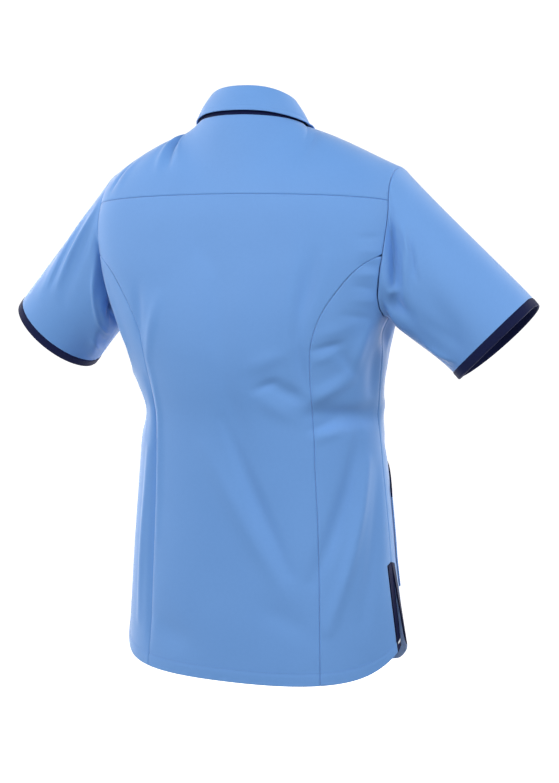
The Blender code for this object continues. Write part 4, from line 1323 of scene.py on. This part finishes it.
def collar_frame():
    """Seam points of the collar with its directions, heights and places."""
    s = np.linspace(0, 1, COLLAR_STATIONS)
    s = s[s <= NECK_S]
    back = np.concatenate([-s[:0:-1], s])[1:-1]
    sides = np.concatenate([np.full(len(s), FRONT), np.full(len(back), BACK), np.full(len(s), FRONT)])
    shares = np.concatenate([-s, back, s[::-1]])
    seam = np.array([top_line(a, b)[0] for a, b in zip(sides, shares)])
    seam[0, 0] -= STAND_END
    seam[-1, 0] += STAND_END
    toward_front = np.clip(-(seam[:, 1] - NECK_CENTRE) / NECK_FRONT, 0, 1)
    sink = np.where(shares > 0, underlap(np.abs(shares)), 0) * (sides == FRONT)
    flat = seam - np.array([0.0, NECK_CENTRE, 0.0])
    flat[:, 2] = 0
    outward = unit(flat)
    seam = seam - outward * sink[:, None]
    rise = unit(np.array(NECK_AXIS) - outward * STAND_LEAN)
    outward = unit(outward - rise * np.sum(outward * rise, axis=1, keepdims=True))
    near_side = ease((NECK_CENTRE + NECK_BACK - seam[:, 1]) / NECK_BACK)
    tall = STAND_BACK + (STAND_FRONT - STAND_BACK) * near_side
    return sides, shares, seam, outward, rise, tall, toward_front, near_side


def fall_rows():
    """Lines along the fall: over the roll, down the stand and then over the body, a little clear of both."""
    sides, shares, seam, outward, rise, tall, toward_front, near_side = collar_frame()
    wall = FALL_WALL_BUILT
    top = seam + rise * tall[:, None]
    rows = [top - outward * wall + rise * FALL_GAP]
    middle = top + outward * (ROLL - wall * 0.5) + rise * (FALL_GAP + ROLL_FOOT)
    for a in ROLL_TURNS:
        rows.append(middle + (-np.cos(a) * outward + np.sin(a) * rise) * (ROLL + wall * 0.5))
    reach = FALL_BACK * (1 - near_side) + FALL_SIDE * near_side
    reach = reach + (FALL_POINT - FALL_SIDE) * toward_front**FALL_CURVE
    along = unit(np.gradient(seam, axis=0))
    hand = np.where(np.arange(len(shares)) < len(shares) / 2, -1, 1)
    start = np.where(shares == 0, hand * 1e-3, shares)
    face = on_sides(sides, body_normal, start, np.full(len(start), TOP))
    away = unit(np.cross(along, face))
    away = away * np.sign(np.sum(away * (outward - rise), axis=1, keepdims=True))
    aside = along * (-hand * FALL_SPREAD * toward_front**FALL_CORNER)[:, None]
    for t in FALL_STEPS:
        path = t * (tall + reach)
        over = np.maximum(path - tall, 0.0)
        s, v = beside_seam(sides, start.copy(), seam + (away + aside) * over[:, None])
        clear = on_sides(sides, body_normal, s, v)
        seat = on_sides(sides, body_point, s, v)
        turn = ease((path - tall + FALL_BEND) / (2 * FALL_BEND))[:, None]
        lean = unit(outward * (1 - turn) + clear * turn)
        base = np.where((path < tall)[:, None], top - rise * path[:, None], seat)
        bulge = FALL_BULGE * math.sin(math.pi * t)
        rows.append(base + lean * (ROLL * 2 * (1 - t) + FALL_CLEAR * t + bulge))
    return np.stack(rows)


def make_collar():
    """Navy stand and blue fall."""
    _, _, seam, outward, rise, tall, _, _ = collar_frame()
    rows = seam[None] + np.linspace(0, 1, 4)[:, None, None] * rise[None] * tall[None, :, None]
    columns = np.linspace(0, rows.shape[1] - 1, COLLAR_COLUMNS)
    stand = smooth_grid(rows, STAND_ROWS, columns)
    inward = catmull(outward, columns)[None]
    piece = cloth_shell("collar_stand_cloth", stand, stand - inward * STAND_WALL, bulge=0.4)
    declare_cloth(piece, "collar_stand", "navy_twill")

    rows = fall_rows()
    fall = smooth_grid(rows, FALL_ROWS, columns)
    normal = grid_normals(fall)
    edge = walked(fall, 0)
    groove = FALL_STITCH_DEPTH * bell(edge[-1:] - edge - FALL_STITCH_IN, STITCH_GROOVE)
    outer = fall - normal * groove[..., None]
    piece = cloth_shell("collar_fall_cloth", outer, fall - normal * FALL_WALL, bulge=0.45)
    declare_cloth(piece, "collar_fall", "blue_twill")


def make_pockets():
    """Patch pockets on the fronts with bound mouths."""
    for hand, word in HANDS:
        s = between(POCKET_IN, POCKET_OUT, spread(POCKET_WIDTH, sizes().cell))
        mouth = pocket_mouth(s)
        t = spread(POCKET_HEIGHT, sizes().cell)
        rows = between(POCKET_BOTTOM, mouth[None, :], t[:, None])
        rim = np.minimum(s - POCKET_IN, POCKET_OUT - s)[None, :] * FRONT_SHARE
        rim = np.minimum(rim, rows - POCKET_BOTTOM)
        lift = POCKET_OVER - POCKET_HEM * bell(rim - POCKET_STITCH_IN, STITCH_GROOVE)
        piece = body_piece(f"pocket_{word}_cloth", FRONT, hand * s[None, :], rows, lift)
        declare_cloth(piece, f"pocket_{word}", "blue_twill")
        width = between(-POCKET_BINDING_FOOT, sizes().binding, spread(MOUTH_SPAN, EDGE_CELL, EDGE_STEPS))
        rows = mouth[None, :] + width[:, None]
        piece = body_piece(
            f"pocket_{word}_binding", FRONT, hand * s[None, :], rows, POCKET_BINDING_OVER,
            wall=POCKET_BINDING_WALL,
        )
        declare_cloth(piece, f"pocket_trim_{word}", "navy_twill")


def stitch_line(points, normals, pitch, radius):
    """Stitches along a line that lies on the cloth, as short rounded bars with their ends sunk in."""
    length = walked(points[None], 1)[0]
    count = max(int(length[-1] / pitch), 1)
    along_one = (STITCH_SECTION["along"] - 0.5) * STITCH_SHARE
    at = (np.arange(count)[:, None] + 0.5 + along_one) * length[-1] / count
    centre = np.stack([np.interp(at, length, points[:, k]) for k in range(3)], -1)
    up = unit(np.stack([np.interp(at, length, normals[:, k]) for k in range(3)], -1))
    along = unit(centre[:, -1:] - centre[:, :1])
    side = unit(np.cross(along, up))
    centre = centre + up * (STITCH_SECTION["up"] * radius)[None, :, None]
    turns = STITCH_TURNS
    angle = 2 * math.pi * np.arange(turns) / turns
    ring = side[:, :, None] * np.cos(angle)[:, None] + up[:, :, None] * np.sin(angle)[:, None]
    vertices = centre[:, :, None] + ring * (STITCH_SECTION["radius"] * radius)[None, :, None, None]
    number = np.arange(count)[:, None, None] * 4 * turns
    i = np.arange(3)[None, :, None] * turns
    j = np.arange(turns)[None, None, :]
    n = (j + 1) % turns
    faces = np.stack([number + i + j, number + i + n, number + i + turns + n, number + i + turns + j], -1)
    caps = [number[:, 0] + np.arange(turns)[::-1], number[:, 0] + 3 * turns + np.arange(turns)]
    return vertices.reshape(-1, 3), faces.reshape(-1, 4).tolist() + np.concatenate(caps).tolist()


def make_stitches(name, lines, material, pitch=None, radius=THREAD_RADIUS):
    """One mesh of all the stitches of a kind."""
    vertices = []
    faces = []
    total = 0
    for points, normals in lines:
        some, new = stitch_line(points, normals, pitch or sizes().stitch, radius)
        vertices.append(some)
        faces.extend([[total + k for k in face] for face in new])
        total += len(some)
    piece = make_mesh(name, np.concatenate(vertices), faces)
    piece.data.materials.append(material)
    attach(piece, "root")


def body_line(side, s, v, raise_by=0.0):
    """A line on the body's cloth, a hair above its face."""
    s, v = np.broadcast_arrays(np.asarray(s, float), np.asarray(v, float))
    normals = body_normal(side, s, v)
    lift = body_lift(side, s, v, sizes().crease) + raise_by
    return body_point(side, s, v) + normals * lift[:, None], normals


def sew():
    """Stitches of the hem, front edge and pockets, and the white tack of one vent."""
    thread = spun_thread("blue_polyester_thread_spun", srgb(colours().thread))
    up = HEM_CENTRE + sizes().hem
    lines = [body_line(BACK, np.linspace(-HEM_SEWN, HEM_SEWN, 300), up)]
    for hand, _ in HANDS:
        s = np.linspace(-OVERLAP_S + 0.01, HEM_SEWN, 220)
        sink = -underlap(s) if hand == LEFT else 0.0
        lines.append(body_line(FRONT, hand * s, up, sink))
    make_stitches("hem_stitches", lines, thread)
    v = np.linspace(HEM_CENTRE + 0.002, FRONT_BASE + 0.030, 400)
    lines = [body_line(FRONT, OVERLAP_S - 0.012, v), body_line(FRONT, -PLACKET_S, v, -0.0003)]
    make_stitches("front_stitches", lines, thread)
    lines = []
    for hand, _ in HANDS:
        margin = POCKET_STITCH_IN / FRONT_SHARE
        s = np.linspace(POCKET_IN + margin, POCKET_OUT - margin, 60)
        low = POCKET_BOTTOM + POCKET_STITCH_IN
        lines.append(body_line(FRONT, hand * s, low, POCKET_OVER))
        for at in (s[0], s[-1]):
            v = np.linspace(low, pocket_mouth(at), 60)
            lines.append(body_line(FRONT, hand * at, v, POCKET_OVER))
    make_stitches("pocket_stitches", lines, thread)
    white = spun_thread("white_polyester_thread_spun", srgb(colours().tack))
    s = -np.linspace(0.955, 0.995, 8)
    levels = [HEM_CENTRE + TACK_UP + k * TACK_STEP for k in range(TACK_BARS)]
    lines = [body_line(BACK, s, level, TACK_OVER) for level in levels]
    make_stitches("vent_tack", lines, white, TACK_LENGTH, TACK_RADIUS)


def make_buttons():
    """Four-hole buttons on the front, sewn with crossed thread."""
    radius = sizes().button / 2
    work = bmesh.new()
    profile = zip(BUTTON_PROFILE["radius"], BUTTON_PROFILE["height"])
    line = [work.verts.new((a * radius, 0, b * BUTTON_THICK)) for a, b in profile]
    edges = [work.edges.new(pair) for pair in zip(line, line[1:])]
    bmesh.ops.spin(
        work, geom=line + edges, cent=(0, 0, 0), axis=(0, 0, 1), angle=2 * math.pi, steps=BUTTON_TURNS,
        use_merge=True,
    )
    bmesh.ops.remove_doubles(work, verts=work.verts[:], dist=1e-6)
    bmesh.ops.recalc_face_normals(work, faces=work.faces[:])
    disc = bpy.data.meshes.new("button_disc")
    work.to_mesh(disc)
    work.free()
    body = add_object("button_disc", disc)
    cutters = []
    spots = [(x * BUTTON_HOLE_OUT, y * BUTTON_HOLE_OUT) for x in (-1, 1) for y in (-1, 1)]
    for x, y in spots:
        bpy.ops.mesh.primitive_cylinder_add(vertices=16, radius=BUTTON_HOLE, depth=0.01, location=(x, y, 0))
        cutter = bpy.context.object
        cutters.append(cutter)
        cut = body.modifiers.new("hole", "BOOLEAN")
        cut.object = cutter
        cut.solver = "EXACT"
    graph = bpy.context.evaluated_depsgraph_get()
    made = bpy.data.meshes.new_from_object(body.evaluated_get(graph))
    for item in cutters + [body]:
        bpy.data.objects.remove(item)
    made.polygons.foreach_set("use_smooth", np.ones(len(made.polygons), bool))
    made.set_sharp_from_angle(angle=math.radians(40))
    made.materials.clear()
    made.materials.append(polyester_button())
    thread = spun_thread("blue_polyester_thread_spun", srgb(colours().thread))
    lines = []
    for k in range(BUTTON_COUNT):
        z = BUTTON_TOP - k * BUTTON_PITCH
        seat, normal = body_line(FRONT, np.array([0.0]), np.array([z]))
        up = Vector(normal[0])
        side = up.cross(Vector((0, 0, 1))).normalized()
        turn = Matrix((side, up.cross(side), up)).transposed().to_4x4()
        turn.translation = Vector(seat[0]) + up * BUTTON_SEAT
        piece = add_object(f"button_{k + 1}_resin", made.copy())
        piece.matrix_world = turn
        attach(piece, "root")
        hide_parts(f"button_{k + 1}")
        for a, b in ((0, 3), (1, 2)):
            ends = [turn @ Vector((*spots[i], BUTTON_THREAD_UP)) for i in (a, b)]
            points = np.array([np.array(ends[0].lerp(ends[1], q)) for q in np.linspace(0, 1, 8)])
            for shift in (-BUTTON_THREAD_APART, BUTTON_THREAD_APART):
                lines.append((points + np.array(side) * shift, np.tile(normal[0], (8, 1))))
    make_stitches("button_threads", lines, thread, 0.01)


def make_stage():
    """Pale floor far below, as for a worn tunic, soft studio light and the camera."""
    scene = bpy.context.scene
    scene.view_settings.view_transform = "Standard"
    world = bpy.data.worlds.new("studio")
    scene.world = world
    world.use_nodes = True
    tree = world.node_tree
    tree.nodes.clear()
    path = add_node(tree, "ShaderNodeLightPath")
    fill = add_node(tree, "ShaderNodeBackground", {"Color": WHITE, "Strength": AMBIENT})
    seen = add_node(tree, "ShaderNodeBackground", {"Color": WHITE, "Strength": WHITE_GLOW})
    mix = add_node(
        tree, "ShaderNodeMixShader",
        links=[(path.outputs["Is Camera Ray"], 0), (fill.outputs[0], 1), (seen.outputs[0], 2)],
    )
    add_node(tree, "ShaderNodeOutputWorld", links=[(mix.outputs[0], "Surface")])

    bpy.ops.mesh.primitive_grid_add(
        x_subdivisions=8, y_subdivisions=8, size=FLOOR_SIZE, location=(0, 0, FLOOR_HEIGHT)
    )
    floor = bpy.context.object
    floor.name = "studio_floor"
    floor.data.materials.append(opal_acrylic())
    floor.visible_diffuse = False

    aim = Vector(LIGHT_AIM)
    for name, left, toward, up, size, power in SOFTBOXES:
        light = bpy.data.lights.new(name, "AREA")
        light.shape = "SQUARE"
        light.size = size
        light.energy = power
        lamp = add_object(name, light)
        lamp.location = aim + Vector(VIEW_LEFT) * left + Vector(VIEW_BACK) * toward + Vector((0, 0, up))
        lamp.rotation_euler = (aim - lamp.location).to_track_quat("-Z", "Y").to_euler()

    camera = bpy.data.cameras.new("photo_camera")
    camera.lens = CAMERA_LENS
    camera.sensor_width = CAMERA_SENSOR
    camera.sensor_fit = "AUTO"
    camera.clip_start = CAMERA_NEAR
    camera.clip_end = CAMERA_FAR
    seat = add_object("photo_camera", camera)
    forward = Vector(CAMERA_FORWARD).normalized()
    right = -Vector(VIEW_LEFT).normalized()
    up = right.cross(forward).normalized()
    turn = Matrix((right, up, -forward)).transposed().to_4x4()
    turn.translation = Vector(CAMERA_PLACE)
    seat.matrix_world = turn
    scene.camera = seat


class TUNIC_OT_make_back(bpy.types.Operator):
    """Builds the centre back, side backs and yoke"""

    bl_idname = "tunic.make_back"
    bl_label = "Back"

    def execute(self, context):
        make_back()
        return {"FINISHED"}


class TUNIC_OT_make_fronts(bpy.types.Operator):
    """Builds the two fronts"""

    bl_idname = "tunic.make_fronts"
    bl_label = "Fronts"

    def execute(self, context):
        make_fronts()
        return {"FINISHED"}


class TUNIC_OT_make_bindings(bpy.types.Operator):
    """Builds the navy bindings of the side vents"""

    bl_idname = "tunic.make_bindings"
    bl_label = "Vent bindings"

    def execute(self, context):
        make_bindings()
        return {"FINISHED"}


class TUNIC_OT_make_sleeves(bpy.types.Operator):
    """Builds the sleeves and their bindings"""

    bl_idname = "tunic.make_sleeves"
    bl_label = "Sleeves"

    def execute(self, context):
        make_sleeves()
        return {"FINISHED"}


class TUNIC_OT_make_collar(bpy.types.Operator):
    """Builds the collar stand and fall"""

    bl_idname = "tunic.make_collar"
    bl_label = "Collar"

    def execute(self, context):
        make_collar()
        return {"FINISHED"}


class TUNIC_OT_make_pockets(bpy.types.Operator):
    """Builds the hip pockets and their bindings"""

    bl_idname = "tunic.make_pockets"
    bl_label = "Pockets"

    def execute(self, context):
        make_pockets()
        return {"FINISHED"}


class TUNIC_OT_sew(bpy.types.Operator):
    """Sews the hem, front, pockets and tack"""

    bl_idname = "tunic.sew"
    bl_label = "Stitches"

    def execute(self, context):
        sew()
        return {"FINISHED"}


class TUNIC_OT_make_buttons(bpy.types.Operator):
    """Builds the buttons and their thread"""

    bl_idname = "tunic.make_buttons"
    bl_label = "Buttons"

    def execute(self, context):
        make_buttons()
        return {"FINISHED"}


class TUNIC_OT_make_stage(bpy.types.Operator):
    """Adds the floor, lights and camera"""

    bl_idname = "tunic.make_stage"
    bl_label = "Studio"

    def execute(self, context):
        make_stage()
        return {"FINISHED"}


OPERATORS = (
    TUNIC_OT_make_back,
    TUNIC_OT_make_fronts,
    TUNIC_OT_make_bindings,
    TUNIC_OT_make_sleeves,
    TUNIC_OT_make_collar,
    TUNIC_OT_make_pockets,
    TUNIC_OT_sew,
    TUNIC_OT_make_buttons,
    TUNIC_OT_make_stage,
)


class TUNIC_PT_panel(bpy.types.Panel):
    """Sizes, colours and steps of the tunic."""

    bl_label = "Work tunic"
    bl_space_type = "VIEW_3D"
    bl_region_type = "UI"
    bl_category = "Tunic"

    def draw(self, context):
        for group in (context.scene.tunic_sizes, context.scene.tunic_colours):
            for key in group.__annotations__:
                self.layout.prop(group, key)
        for kind in OPERATORS:
            self.layout.operator(kind.bl_idname)


CLASSES = (TunicSizes, TunicColours, *OPERATORS, TUNIC_PT_panel)


def register():
    """Registers the classes and the settings."""
    for kind in CLASSES:
        bpy.utils.register_class(kind)
    bpy.types.Scene.tunic_sizes = bpy.props.PointerProperty(type=TunicSizes)
    bpy.types.Scene.tunic_colours = bpy.props.PointerProperty(type=TunicColours)


def unregister():
    """Removes the settings and the classes."""
    del bpy.types.Scene.tunic_colours
    del bpy.types.Scene.tunic_sizes
    for kind in reversed(CLASSES):
        bpy.utils.unregister_class(kind)


def main():
    """Builds everything in order."""
    register()
    bpy.ops.tunic.make_back()
    bpy.ops.tunic.make_fronts()
    bpy.ops.tunic.make_bindings()
    bpy.ops.tunic.make_sleeves()
    bpy.ops.tunic.make_collar()
    bpy.ops.tunic.make_pockets()
    bpy.ops.tunic.sew()
    bpy.ops.tunic.make_buttons()
    bpy.ops.tunic.make_stage()


if __name__ == "__main__":
    main()
